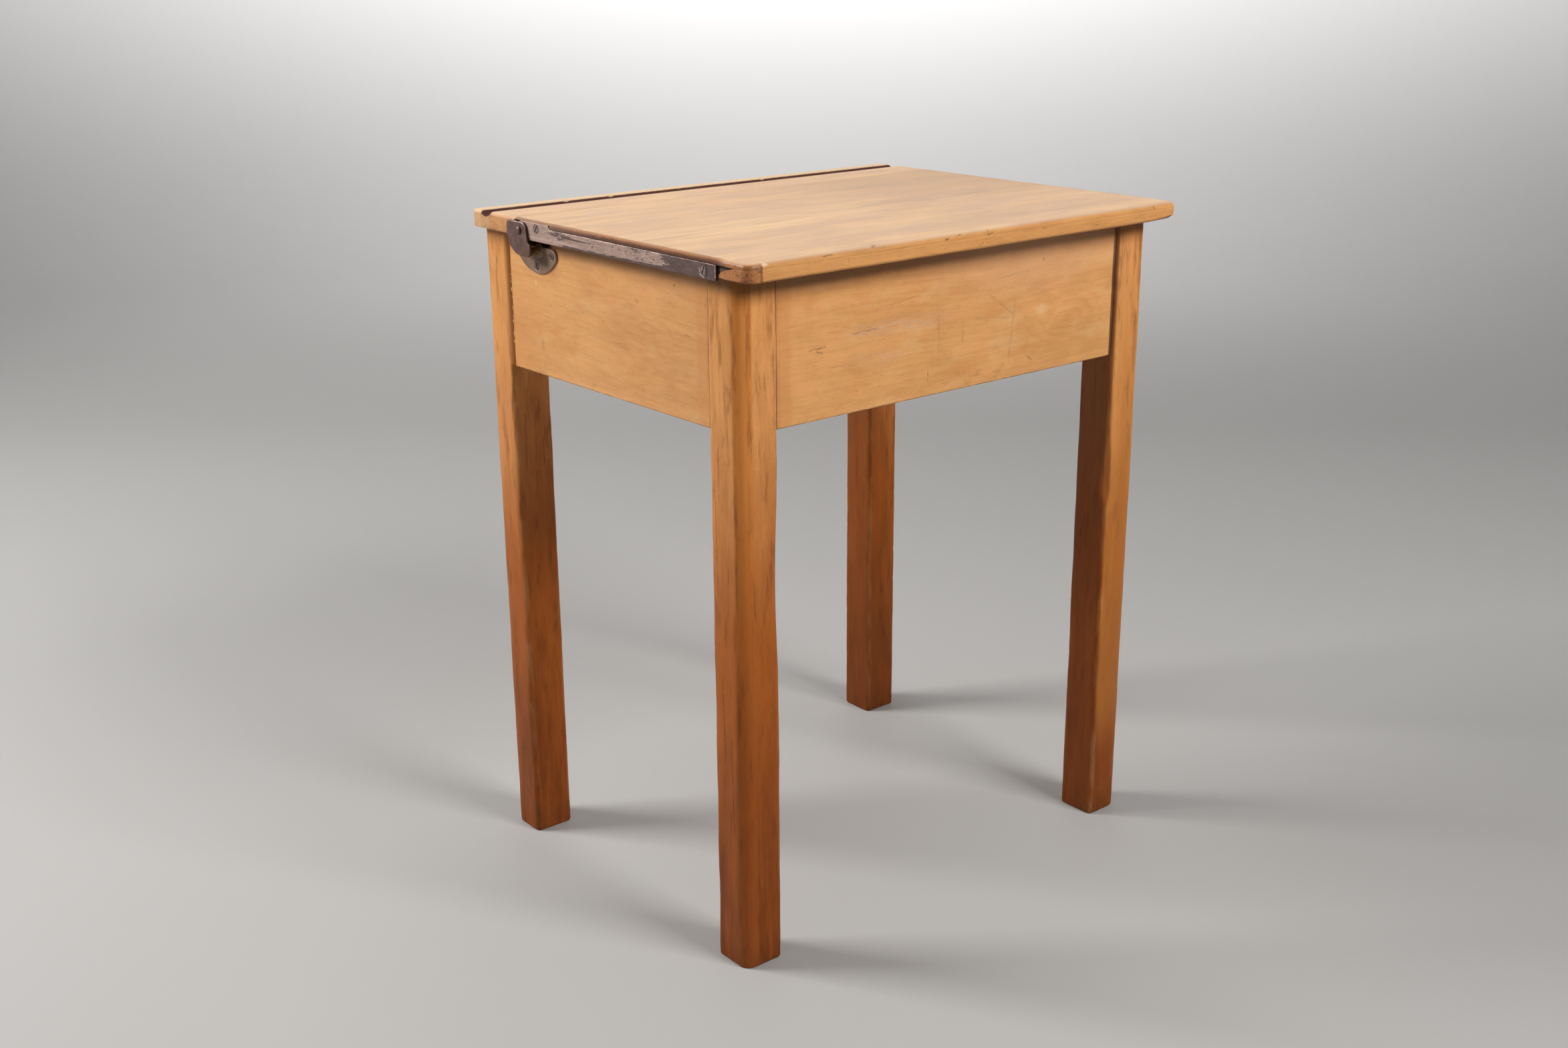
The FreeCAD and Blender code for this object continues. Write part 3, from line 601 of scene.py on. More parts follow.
def apron_wood(name, wood, low, high, along_x, outer):
    """Honey varnish on an apron, dark in its joints; painted shadow with grime under the top,
    painted shade in the scoop and one end joint.
    """
    s = Finish(name)
    u, w = (s.x, s.y) if along_x else (s.y, s.x)
    z = s.z
    seed = 2.1 if along_x else 4.6
    grain = Grain(s, u, z, w * 2, seed + (0 if outer < 0 else 9), 1.0)
    if outer < 0 and not along_x:
        grain.flame((20, 628), 60, 8.5, 0.07, 3.4).flame((-70, 672), 34, 7, 0.08, 6)
    elif outer < 0:
        grain.flame((172, 642), 46, 8.5, 0.09, 2.2).flame((-60, 700), 40, 8, 0.07, 9)
    else:
        grain.flame((-70, 660), 50, 9, 0.22, 5)
    s.base = grain.colour(wood.apron, 0.19)
    amber = s.patches(u / 70 + seed, z / 26, w / 26, 0.50, 0.72, 3.0)
    s.lay(Tone.amber, amber * 0.42)
    pale = s.fall(s.noise(u / 55, z / 20 + seed, w / 20, 3.0, 0.6), 0.30, 0.48)
    s.lay(Tone.pale, pale * 0.34)
    face = s.rise(abs(s.ny if along_x else s.nx), 0.5, 0.8)
    start, end = (low[0], high[0]) if along_x else (low[1], high[1])
    near_joint = s.most(s.fall(u, start + 0.6, start + 7), s.rise(u, end - 7, end - 0.6))
    ragged = s.noise(u / 12, z / 30, w / 12, 3.0)
    s.lay(shade(wood.dirt, 1.6), near_joint * s.rise(ragged, 0.35, 0.7) * 0.35)
    beside = s.fall(u + (ragged - 0.5) * 9, start + 14, start + 24)
    s.lay(Tone.joint_amber, beside * 0.42)
    # Painted shade: the front and rear aprons' right-hand ends are painted near black for the open
    # joint beside the leg; the side aprons get a reddish joint line
    wide = 5.6 if along_x else 1.4
    crack = s.rise(u + (ragged - 0.5) * 1.6, end - wide, end - wide * 0.7)
    seam = s.fall(u, start + 0.4, start + 1.6)
    s.lay(Tone.crack if along_x else Tone.side_crack, crack * 0.92)
    s.lay(Tone.seam, seam * 0.75)
    # Painted shadow with grime: the outer face darkens just under the lid, darkest right under it
    top = s.rise(z + (ragged - 0.5) * 5, high[2] - 30, high[2] - 14)
    outside = s.rise((s.ny if along_x else s.nx) * (1 if outer > 0 else -1), 0.3, 0.7)
    s.lay(shade(wood.apron, 0.34), top * outside * 0.4)
    lid_shadow_and_grime = s.rise(z + (ragged - 0.5) * 3, high[2] - 21, high[2] - 12)
    s.lay(Tone.lid_shadow_and_grime, lid_shadow_and_grime * outside * (0.45 if outer < 0 and along_x else 0.25))
    # Painted shade: the side aprons' scoop under the lid's turning edge is painted near black
    if not along_x:
        notch = s.within(u, PIVOT_Y - 33, PIVOT_Y + 33, 4) * s.rise(z, 726, 731)
        s.lay(Tone.scoop_shade, notch * s.most(s.rise(s.nz, 0.1, 0.4), 0.75))
    s.lay(shade(wood.apron, 0.55), smudges(s, u, z, w, 24, seed, 0.56, 0.80) * 0.28 * face)
    s.lay(Tone.dusty, smudges(s, u, z, w, 11, seed + 6, 0.62, 0.8) * 0.25 * face)
    fine = scratches(s, u, z, seed + 4, 0.14, 70)
    s.lay(wood.dirt, fine * 0.3)
    marks = fine * 0.3
    if outer < 0 and along_x:
        dark = s.marks(u, z, FRONT_APRON_MARKS)
        dark = s.most(dark, s.spot(u, z, (129, 713), (1.4, 1.4)))
        dark = s.most(dark, smudges(s, u, z, w, 6, 3.4, 0.50, 0.7)
                      * s.spot(u, z, (30, 599), (42, 7), 0.9) * 0.55)
        dark = s.most(dark, smudges(s, u, z, w, 3, 7.4, 0.52, 0.7)
                      * s.spot(u, z, (-29, 650), (12, 30), 0.9) * 0.35)
        s.lay(wood.dirt, dark * 0.66)
        bloom = s.most(s.spot(u, z, (-84, 670), (56, 6), 0.9),
                       s.spot(u, z, (-118, 640), (34, 6), 0.9) * 0.5)
        bloom = bloom * s.patches(u / 26, z / 2.2, 4.0, 0.40, 0.62, 3.0)
        s.lay(Tone.bloom, bloom * 0.42)
        s.lay(Tone.rubbed_spot, s.spot(u, z, (128, 658), (8, 5), 0.8) * 0.45)
        rosy = s.spot(u, z, (110, 715), (110, 30), 0.9)
        s.lay(Tone.rosy, rosy * 0.35)
        marks = dark
    if outer < 0 and not along_x:
        dark = s.marks(u, z, SIDE_APRON_MARKS)
        for at, size, strength in (((-47, 698), (4, 2), 0.35), ((-112, 723), (1.8, 1.4), 0.8),
                                   ((135, 623), (3, 6), 0.4)):
            dark = s.most(dark, s.spot(u, z, at, size, 0.8) * strength)
        s.lay(shade(wood.dirt, 1.3), dark * 0.6)
        glue_line = s.rise(u, end - 4.5, end - 1.0) * s.rise(ragged, 0.3, 0.6)
        s.lay(Tone.glue_line, glue_line * 0.55)
        s.lay(Tone.glue_crumb, s.spot(u, z, (143, 690), (1.6, 2.6), 0.9) * 0.3)
        glow = s.rise(u + (ragged - 0.5) * 60, end - 90, end - 10) * s.fall(z, 620, 720)
        s.lay(Tone.glow, glow * 0.4)
        marks = dark
    rim = s.fall(z, low[2] + 0.4, low[2] + 1.8)
    s.lay(wood.dirt, rim * s.rise(ragged, 0.3, 0.6) * 0.6)
    rough = 0.42 + (grain.hair - 0.5) * 0.2 + marks * 0.2 + s.rise(u, end - 5, end - 2) * 0.4
    return s.close(rough, grain.relief() - fine * 0.5, coat=0.06, coat_rough=0.32,
                   depth=0.00014, specular=0.35)


def leg_wood(name, wood, low, high):
    """Leg: grain upright, darker downwards from deeper varnish and painted shade, rubbed on the
    arrises, scuffed foot, painted shadow with grime under the top.
    """
    s = Finish(name)
    x, y, z = s.x, s.y, s.z
    left, front = low[0] < 0, low[1] < 0
    seed = (3.3 if left else 8.2) + (0 if front else 2.9)
    across = x + y
    grain = Grain(s, z, across, x - y, seed, 1.0)
    grain.flame((430, (low[0] + high[0] + low[1] + high[1]) / 2 + 12), 20, 6.5, 0.14, 14)
    upper = grain.colour(wood.leg, 0.24)
    lower = grain.colour(wood.leg_low, 0.28)
    # Darker towards the feet: partly deeper varnish, partly painted shade of the lower legs
    sway = z + (grain.broad - 0.5) * 170
    s.base = s.mix(upper, grain.colour(wood.leg_middle, 0.2), s.fall(sway, 330, 660))
    s.lay(lower, s.fall(sway, 60, 350))
    dx = s.least(abs(x - low[0]), abs(x - high[0]))
    dy = s.least(abs(y - low[1]), abs(y - high[1]))
    arris = s.fall(dx + dy, 1.5, 6.5)
    x_out, y_out = (low[0] if left else high[0]), (low[1] if front else high[1])
    past = abs(x - x_out) - abs(y - y_out)
    round_out = s.within(past + (grain.hair - 0.5) * 3, -9, 15.5, 2.5) * s.fall(
        abs(x - x_out) + abs(y - y_out), 17, 20)
    deeper = s.noise(z / 120, past / 4, seed, 4.0, 0.65)
    # The strip over the outer round is partly varnish left in it and partly painted shade of the
    # round, strongest on the front left leg
    strip = s.mix(Tone.strip_high, Tone.strip_low, s.fall(sway, 180, 640))
    s.lay(strip, round_out * (0.5 + deeper * 0.45) * (1 if left and front else 0.4))
    drawn = past + (deeper - 0.5) * 3
    rims = s.most(s.within(drawn, 10.6, 14.0, 2.0) * s.rise(z, 380, 640),
                  s.within(drawn, -9.5, -6.5, 2.2) * s.fall(z, 480, 700) * 0.7) * round_out
    rims = rims * s.patches(z / 38, past / 9, seed, 0.36, 0.6, 4.0, 0.65)
    s.lay(Tone.strip_rim, rims * 0.45)
    rubbed = s.noise(z / 55 + seed, x / 16, y / 16, 3.0)
    s.lay(Tone.rubbed_arris, arris * s.rise(rubbed, 0.42, 0.66) * 0.5)
    s.lay(shade(wood.dirt, 1.3), arris * s.fall(rubbed, 0.34, 0.5) * 0.4)
    s.lay(shade(wood.leg_low, 0.5), smudges(s, z / 2, across, x - y, 12, seed, 0.50, 0.72) * 0.5)
    # Painted light: the rear left leg's front face beside the side apron, above the apron's
    # bottom, is painted paler
    if left and not front:
        flush = s.rise(z, 588, 592) * s.fall(y, low[1] + 3, low[1] + 6) * s.fall(x, -295, -292)
        s.lay(shade(wood.leg, 1.1), flush * 0.7)
    foot = s.fall(z + (rubbed - 0.5) * 40, 2, 46)
    scuff = s.noise(across / 6, z / 9, x - y, 4.0, 0.65)
    s.lay(wood.dirt, foot * s.rise(scuff, 0.40, 0.62) * 0.5)
    s.lay(Tone.scuffed, foot * s.rise(scuff, 0.64, 0.74) * 0.4)
    marks = scratches(s, z, across, seed, 0.22, 60)
    s.lay(wood.dirt, marks * 0.32)
    # Painted shade on the right legs' inner faces, stronger higher up, and painted light on the
    # front right leg's other faces
    if not left:
        inner = s.fall(s.nx, -0.8, -0.4)
        s.lay(shade(wood.leg_low, 0.58 if front else 0.62),
              inner * ((0.3 if front else 0.55) + s.rise(sway, 300, 560) * 0.45))
        if front:
            s.lay(Tone.right_leg, s.within(z, 160, 600, 90) * (1 - inner) * 0.3)
    dents = smudges(s, z * 1.4, across, x - y, 3.4, seed + 2, 0.70, 0.77)
    s.lay(wood.dirt, dents * 0.5)
    if left and front:
        cracks = s.marks(y, z, LEG_CRACKS) * s.rise(abs(s.nx), 0.7, 0.9) * s.fall(x, -299, -290)
        s.lay(wood.dirt, cracks * 0.85)
        marks = s.most(marks, cracks)
    redder = s.patches(z / 90 + seed, across / 12, 4.0, 0.48, 0.66)
    s.lay(Tone.deep_red, redder * s.fall(sway, 260, 600) * (0.34 if left else 0.16))
    # Painted shadow with grime on the outer faces just under the lid, darkest right under it
    top = s.rise(z + (grain.hair - 0.5) * 6, high[2] - 32, high[2] - 12)
    outside = s.most(s.rise(s.nx * (-1 if left else 1), 0.3, 0.7),
                     s.rise(s.ny * (-1 if front else 1), 0.3, 0.7))
    s.lay(shade(wood.leg, 0.30), top * outside * (0.45 if front else 0.25))
    lid_shadow_and_grime = s.rise(z + (grain.hair - 0.5) * 4, high[2] - 21, high[2] - 11)
    s.lay(Tone.lid_shadow_and_grime, lid_shadow_and_grime * outside * (0.45 if front else 0.2))
    end = s.rise(abs(s.nz), 0.7, 0.9)
    s.lay(Tone.end_grain, end * 0.8)
    rough = 0.40 + (grain.hair - 0.5) * 0.2 + foot * 0.25 + arris * 0.08
    return s.close(rough, grain.relief() - marks * 0.8 - dents * 0.8, coat=0.03,
                   coat_rough=0.3, depth=0.00018, specular=0.15)


def plain_wood(name, tint, dirt, grain_axis, low, high, contrast=0.16):
    """Unvarnished wood inside the locker, dusty in its corners."""
    s = Finish(name)
    axes = {"x": (s.x, s.y, s.z), "y": (s.y, s.x, s.z), "z": (s.z, s.x, s.y)}
    u, v, w = axes[grain_axis]
    grain = Grain(s, u, v, w * 2, low[0] / 91 + low[1] / 37, 1.1)
    grain.flame(((low[0] + high[0]) / 2, 20), 120, 13, 0.12, 8)
    s.base = grain.colour(tint, contrast)
    dust = smudges(s, s.x, s.y, s.z, 30, 6.1, 0.5, 0.8)
    s.lay(shade(dirt, 2.0), dust * 0.3)
    ink_spots = smudges(s, s.x, s.y, s.z, 5, 1.4, 0.74, 0.77)
    s.lay(Tone.spilt_ink, ink_spots * 0.55)
    return s.close(0.72 + (grain.hair - 0.5) * 0.2, grain.relief(), depth=0.0005)


def strap_steel(name, steel):
    """Bar rubbed to bare metal in the middle, with dark paint left in front and below; painted
    shade on its lower edge, end and screws.
    """
    s = Finish(name)
    x, y, z = s.x, s.y, s.z
    patch = s.noise(y / 13, z / 4.2, x / 9, 4.0, 0.6)
    fine = s.noise(y / 3.2, z / 1.2, x / 3, 3.0, 0.6)
    front = s.fall(y, -150, -104)
    blotchy = s.within(y, -126, -66, 34) * 0.17
    low_edge = s.fall(z + (patch - 0.5) * 9, 741.6, 744.4) * 0.62 * s.fall(y, 50, 90)
    high_edge = s.rise(z + (fine - 0.5) * 2, 754.2, 755.6) * s.fall(y, 86, 92) * 0.18
    streak = s.spot(y, z + (fine - 0.5) * 1.6, (34, 750.6), (26, 1.1), 0.5) * 0.5
    tab = s.spot(y, z + (patch - 0.5) * 4, (72, 751.5), (22, 3.6), 0.7) * 0.42
    brushed = s.noise(y / 22, z / 0.7, x / 9, 3.0, 0.6)
    cover = (patch - 0.5) * 1.3 + (fine - 0.5) * 0.5 + (brushed - 0.5) * 0.35 + front + blotchy
    cover = cover + low_edge + streak + high_edge + tab
    for at, size in (((-28.5, 752.5), (1.3, 0.8)), ((-40.2, 751.0), (1.0, 0.9)),
                     ((-51.7, 750.4), (1.4, 0.6)), ((-61, 750.2), (1.1, 0.6)),
                     ((8, 747.6), (1.6, 0.7)), ((-12, 746.8), (1.2, 0.6))):
        cover = cover + s.spot(y, z, at, size, 0.5) * 0.6
    head_shade = 0.0
    # Painted shade rings the heads, with a painted shadow beside the proud front screw. The front
    # screw comes last, and only its crescent, worn and with a painted highlight, is laid on below
    for at_y, at_z, _ in STRAP_SCREWS:
        ring = ((y - at_y) * (y - at_y) + (z - at_z) * (z - at_z)) ** 0.5
        cover = cover + s.within(ring, 4.4, 5.0, 0.3) * 0.8
        proud = s.fall(y, -150, -140)
        head_shade = s.most(head_shade, s.within(ring, 4.3, 5.0, 0.4) * s.rise(at_y - y, -1.0, 3.0))
        head_shade = s.most(head_shade, s.within(ring, 4.3, 7.6, 1.2) * s.rise(at_y - y, 2.2, 4.6) * proud)
        worn = s.within(ring, 4.8, 6.4, 1.0) * s.rise(y - at_y + (at_z - z) * 0.7, 1.5, 4.5)
        worn = worn * proud * s.rise(fine, 0.44, 0.58)
    painted = s.rise(cover, 0.22, 0.38)
    rim = s.most(s.rise(z, 755.0, 755.6) * s.fall(y, 84, 90), s.fall(y, -197.4, -196.6))
    step = s.stroke(y, z, (88.2, 755.6), (91.9, 760.4), 1.0)
    rubbed = s.most(rim * s.rise(fine, 0.40, 0.55), step) * s.rise(z, 742.5, 744)
    bare = s.mix(shade(steel.bare, 0.57), shade(steel.bare, 0.98),
                 s.rise(fine * 0.5 + brushed * 0.5, 0.34, 0.62))
    bare = s.mix(bare, shade(steel.bare, 1.3), s.within(z + (patch - 0.5) * 3, 743.8, 745.2, 0.8)
                 * s.rise(y, 20, 60) * 0.5)
    bare = s.mix(bare, Tone.strap_rust, smudges(s, y, z, x, 4.5, 2.7, 0.60, 0.78) * 0.45)
    paint = s.mix(shade(steel.paint, 0.7), shade(steel.paint, 1.35), s.rise(patch, 0.3, 0.75))
    s.base = s.mix(bare, paint, painted)
    s.lay(shade(steel.bare, 1.25), rubbed * 0.75)
    # Painted shade along the strap's lower edge
    lower = s.fall(z, 740.3, 741.2)
    s.lay(Tone.strap_under_shade, lower * 0.75)
    # Worn metal with a painted highlight: the bright crescent on the front screw's lit side
    s.lay(shade(steel.bare, 1.25), worn * 0.62)
    # Painted shade round the heads and on the strap's front end face
    s.lay(Tone.strap_shade, s.most(head_shade, s.fall(s.ny, -0.96, -0.8)) * 0.9)
    metal = s.most((1 - painted) * 0.34, rubbed * 0.6) * (1 - lower)
    rough = 0.46 + painted * 0.14 + (fine - 0.5) * 0.3
    return s.close(rough, patch * 0.2 + fine * 0.3 + painted * 0.6, metal=metal,
                   depth=0.00025)


def bracket_iron(name, steel):
    """Cast iron: dark painted arm with a rubbed rim, greasy post and greyer plate; painted shade
    and light on the arm and plate.
    """
    s = Finish(name)
    x, y, z = s.x, s.y, s.z
    out = abs(x)
    patch = s.noise(y / 9, z / 9, x / 9, 4.0, 0.6)
    fine = s.noise(y / 1.6, z / 1.6, x / 1.6, 3.0, 0.6)
    arm = s.mix(shade(steel.arm, 0.72), shade(steel.arm, 1.3), s.rise(patch, 0.3, 0.72))
    plate = s.mix(shade(steel.plate, 0.70), shade(steel.plate, 1.2), s.rise(patch, 0.28, 0.7))
    plate = s.mix(plate, Tone.plate_rust, smudges(s, y, z, x, 7, 5.2, 0.60, 0.80) * 0.35)
    # Painted light on the plate's lower front; a painted shadow below the post and painted shade
    # towards the plate's rear
    low = s.fall(z + (patch - 0.5) * 8, 712, 726)
    plate = s.mix(plate, shade(steel.plate, 1.2), low * s.fall(y, 96, 130) * 0.5)
    plate = s.mix(plate, shade(steel.plate, 0.5), s.spot(y, z, (126, 722), (9, 9), 0.9) * 0.55)
    plate = s.mix(plate, shade(steel.plate, 0.45), s.rise(y, 138, 160) * 0.6)
    grease = s.mix(steel.grease, Tone.old_grease, s.rise(patch, 0.35, 0.7))
    on_plate = s.fall(out, 299.2, 300.4)
    on_arm = s.rise(out, 310.2, 311.6)
    s.base = s.mix(s.mix(grease, plate, on_plate), arm, on_arm)
    toe = s.spot(y, z, (128, 727), (10, 9), 0.9) * on_arm
    s.lay(steel.grease, toe * 0.55)
    reach_y, reach_z = (y - PIVOT_Y), (z - PIVOT_Z)
    edge = s.rise(out, 313.2, 313.9) * s.fall(abs(s.nx), 0.80, 0.97)
    top_rim = edge * s.rise(reach_z, -16, -2) * s.rise(fine, 0.3, 0.5)
    plate_rim = s.within(out, 297.4, 298.7, 0.2) * s.fall(abs(s.nx), 0.85, 0.98)
    rubbed = s.most(top_rim * s.fall(reach_y, 10, 24), plate_rim * s.fall(z, 722, 731) * 0.7)
    s.lay(shade(steel.bare, 1.2), rubbed * 0.85)
    # Painted shade on the arm's sides where they are not rubbed
    side = s.fall(abs(s.nx), 0.2, 0.6) * (1 - rubbed)
    s.lay(shade(steel.arm, 0.35), side * on_arm * 0.6)
    # Painted shade at the base plate's back edge, against the apron
    s.lay(Tone.plate_edge_shade, s.fall(out, 296.1, 297.2) * 0.8)
    metal = 0.1 + rubbed * 0.7
    rough = 0.46 + (patch - 0.5) * 0.3 - rubbed * 0.1 + on_plate * 0.1
    return s.close(rough, patch * 0.5 + fine * 0.35, metal=metal, depth=0.0003)


def fastener_steel(name, steel, tint):
    """Tarnished head, brighter where it stands proud, with painted shade on its sides and in its
    slot.
    """
    s = Finish(name)
    x, y, z = s.x, s.y, s.z
    patch = s.noise(y / 2.2, z / 2.2, x / 2.2, 4.0, 0.65)
    s.base = s.mix(shade(tint, 0.6), shade(tint, 1.35), s.rise(patch, 0.3, 0.7))
    # Painted shade on every face not turned outwards: the heads' sides, the dome's rim and the
    # slot's walls
    flat = s.rise(abs(s.nx), 0.6, 0.99)
    s.base = s.mix(shade(tint, 0.3), s.base, flat)
    bright = flat * s.rise(patch, 0.60, 0.78)
    s.lay(steel.bare, bright * 0.6)
    s.lay(Tone.screw_rust, smudges(s, y, z, x, 2.6, 4.4, 0.6, 0.75) * 0.4)
    return s.close(0.46 + (patch - 0.5) * 0.3, patch, metal=0.12 + bright * 0.5,
                   depth=0.0002)


def old_filler(name, wood):
    """Yellowed, crumbling glue."""
    s = Finish(name)
    lump = s.noise(s.x / 1.4, s.y / 1.4, s.z / 2.2, 3.0)
    s.base = s.mix(shade(wood.filler, 0.62), wood.filler, s.rise(lump, 0.3, 0.62))
    return s.close(0.6 + (lump - 0.5) * 0.3, lump, depth=0.0004)


def floor_paint(name, tint):
    """Plain pale studio floor with a faint, even unevenness."""
    s = Finish(name)
    cloud = s.noise(s.x / 600, s.y / 600, s.z / 600, 3.0)
    s.base = s.mix(shade(tint, 0.97), tint, cloud)
    s.lay(Tone.wall, s.rise(s.z, 0.0, 1500.0))
    return s.close(0.62 + (cloud - 0.5) * 0.08, cloud, depth=0.0001, specular=0.25)


# --- Mesh making ------------------------------------------------------------------


def rough(x, y, z, size, seed=0.0):
    """Smooth noise from -1 to 1 with lumps about one size apart."""
    return noise.noise(Vector((x / size + seed, y / size - seed, z / size + 2 * seed)))


def add_object(name, data):
    made = bpy.data.objects.new(name, data)
    bpy.context.scene.collection.objects.link(made)
    return made


def piece_from(name, build, sharp=38.0):
    """Mesh object from a function that fills a bmesh in millimetres."""
    bm = bmesh.new()
    build(bm)
    bmesh.ops.recalc_face_normals(bm, faces=bm.faces)
    for vert in bm.verts:
        vert.co *= MM
    mesh = bpy.data.meshes.new(name)
    bm.to_mesh(mesh)
    bm.free()
    mesh.shade_smooth()
    mesh.set_sharp_from_angle(angle=math.radians(sharp))
    return add_object(name, mesh)


def skin(bm, rings):
    """Closed skin over rings of equally many points, capped at both ends."""
    rows = [[bm.verts.new(p) for p in ring] for ring in rings]
    count = len(rows[0])
    for low, high in zip(rows, rows[1:]):
        for i in range(count):
            j = (i + 1) % count
            bm.faces.new((low[i], low[j], high[j], high[i]))
    bm.faces.new(rows[0])
    bm.faces.new(rows[-1])


def rounded_outline(corners, arc_steps=6, straight_steps=1):
    """Points (u, v, outward u, outward v) round a polygon of corners (u, v, radius)."""
    area = sum(a[0] * b[1] - b[0] * a[1] for a, b in zip(corners, corners[1:] + corners[:1]))
    if area < 0:
        corners = corners[::-1]
    points = []
    for i, (u, v, radius) in enumerate(corners):
        here = Vector((u, v))
        back = (Vector(corners[i - 1][:2]) - here).normalized()
        ahead = (Vector(corners[(i + 1) % len(corners)][:2]) - here).normalized()
        out_back = Vector((-back.y, back.x))
        out_ahead = Vector((ahead.y, -ahead.x))
        if radius <= 0:
            mitre = (out_back + out_ahead) / (1 + out_back.dot(out_ahead))
            points.append((here, mitre))
            continue
        half = back.angle(ahead) / 2
        convex = back.x * ahead.y - back.y * ahead.x < 0
        centre = here + (back + ahead).normalized() * radius / math.sin(half)
        for k in range(arc_steps + 1):
            way = out_back.slerp(out_ahead, k / arc_steps)
            points.append((centre + way * (radius if convex else -radius), way))
    full = []
    for i, (p, way) in enumerate(points):
        full.append((p.x, p.y, way.x, way.y))
        after = points[(i + 1) % len(points)][0]
        if straight_steps > 1 and (after - p).length > 12:
            along = (after - p).normalized()
            out = Vector((along.y, -along.x))
            for k in range(1, straight_steps):
                q = p.lerp(after, k / straight_steps)
                full.append((q.x, q.y, out.x, out.y))
    return full


def eased(low, high, low_radius, high_radius, steps=4):
    """Profile (inset, height) of a plate whose two rims are rounded over."""
    profile = [(low_radius * 1.3, low)]
    for k in range(steps + 1):
        a = math.pi / 2 * k / steps
        profile.append((low_radius * (1 - math.sin(a)), low + low_radius * (1 - math.cos(a))))
    for k in range(steps + 1):
        a = math.pi / 2 * k / steps
        profile.append((high_radius * (1 - math.cos(a)), high - high_radius * (1 - math.sin(a))))
    profile.append((high_radius * 1.3, high))
    return profile


def plate(bm, outline, profile, place, scale=lambda u, v: 1.0):
    """Plate over an outline: each profile step insets it and moves it through the thickness."""
    rings = []
    for inset, height in profile:
        ring = []
        for u, v, du, dv in outline:
            by = inset * scale(u, v)
            ring.append(place(u - du * by, v - dv * by, height))
        rings.append(ring)
    skin(bm, rings)


def turned(bm, outline, place, steps=28):
    """Turned shape from points (distance along the axis, radius)."""
    rings = []
    for at, radius in outline:
        rings.append([place(at, radius * math.cos(2 * math.pi * k / steps),
                            radius * math.sin(2 * math.pi * k / steps)) for k in range(steps)])
    skin(bm, rings)


def cut(piece, build):
    """Takes a shape away from a piece for good."""
    tool = piece_from(piece.name + "_tool", build)
    modifier = piece.modifiers.new("cut", "BOOLEAN")
    modifier.operation = "DIFFERENCE"
    modifier.solver = "MANIFOLD"
    modifier.object = tool
    settle(piece)
    bpy.data.objects.remove(tool)
    piece.data.shade_smooth()
    piece.data.set_sharp_from_angle(angle=math.radians(34))


def settle(piece):
    """Turns a piece and its modifiers into a plain mesh."""
    graph = bpy.context.evaluated_depsgraph_get()
    mesh = bpy.data.meshes.new_from_object(piece.evaluated_get(graph))
    piece.modifiers.clear()
    piece.data = mesh


def finish_piece(piece, material, body, slot, *nodes):
    """Gives a piece its material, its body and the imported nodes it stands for."""
    piece.data.materials.clear()
    piece.data.materials.append(material)
    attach(piece, body)
    if nodes:
        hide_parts(*nodes)


def dress_node(node, material):
    """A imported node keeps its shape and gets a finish."""
    piece = frame["nodes"][node]
    if not piece.material_slots:
        piece.data.materials.append(material)
    for slot in piece.material_slots:
        slot.material = material


# --- Pieces -----------------------------------------------------------------------


def leg_rings(low, high, wear, hollow):
    """Rings up a leg: a large round on the outer corner and worn small ones elsewhere."""
    side, end = (1 if high[0] > 0 else -1), (1 if high[1] > 0 else -1)
    x_out, x_in = (high[0], low[0]) if side > 0 else (low[0], high[0])
    y_out, y_in = (high[1], low[1]) if end > 0 else (low[1], high[1])
    arris, dent = wear.arris / MM, wear.dent / MM
    heights = [0.0, 0.4, 1.0, 1.8, 3.0, 5.0]
    while heights[-1] < high[2] - 8:
        heights.append(heights[-1] + 5.5)
    heights.append(high[2])
    seed = side * 3.7 + end * 1.9 + wear.seed
    diagonal = Vector((x_in - x_out, y_out - y_in)).normalized()
    sharp = Vector((x_in, y_out))
    rings = []
    for z in heights:
        def worn(radius, k):
            return radius + arris * rough(z, k * 31, 0, 60, seed) * 1.6
        corners = [(x_out, y_out, worn(LEG_ROUND, 0)), (x_in, y_out, worn(LEG_ARRIS, 1)),
                   (x_in, y_in, worn(LEG_ARRIS, 2)), (x_out, y_in, worn(LEG_ARRIS, 3))]
        ring = []
        for u, v, du, dv in rounded_outline(corners, 8, 7):
            by = 0.12 * (1 + rough(u * 2, v * 2, z, 30, seed))
            on_arris = abs(du * dv) * 2
            by += dent * on_arris * max(0.0, rough(u, v, z, 7, seed) - 0.28)
            by += 0.5 * on_arris * max(0.0, rough(u, v, z, 24, seed + 5))
            if z < 3:
                ragged = 1 + 0.5 * rough(u, v, 0, 9, seed)
                by += 2.0 * ragged * (1 - math.sqrt(1 - (1 - z / 3) ** 2))
            p = Vector((u - du * by, v - dv * by))
            if hollow and end < 0:
                depth = hollow(z)
                over = (p - sharp).dot(diagonal) + depth
                if depth > 0 and over > -1.2:
                    p -= diagonal * (0.5 * (over + math.hypot(over, 0.7)))
            ring.append((p.x, p.y, z))
        rings.append(ring)
    return rings


def left_hollow(z):
    """Depth of the long shallow hollow worn into the left leg."""
    t = (z - 426) / 123
    return 5.6 * (1 - t * t) if abs(t) < 1 else 0.0


def right_hollow(z):
    """Depth of the flat in the right leg, which deepens down to a short step."""
    if 422 < z < 568:
        return 6.6 * (568 - z) / 146
    if 399 < z <= 422:
        t = (z - 399) / 23
        return 6.6 * t * t * (3 - 2 * t)
    return 0.0


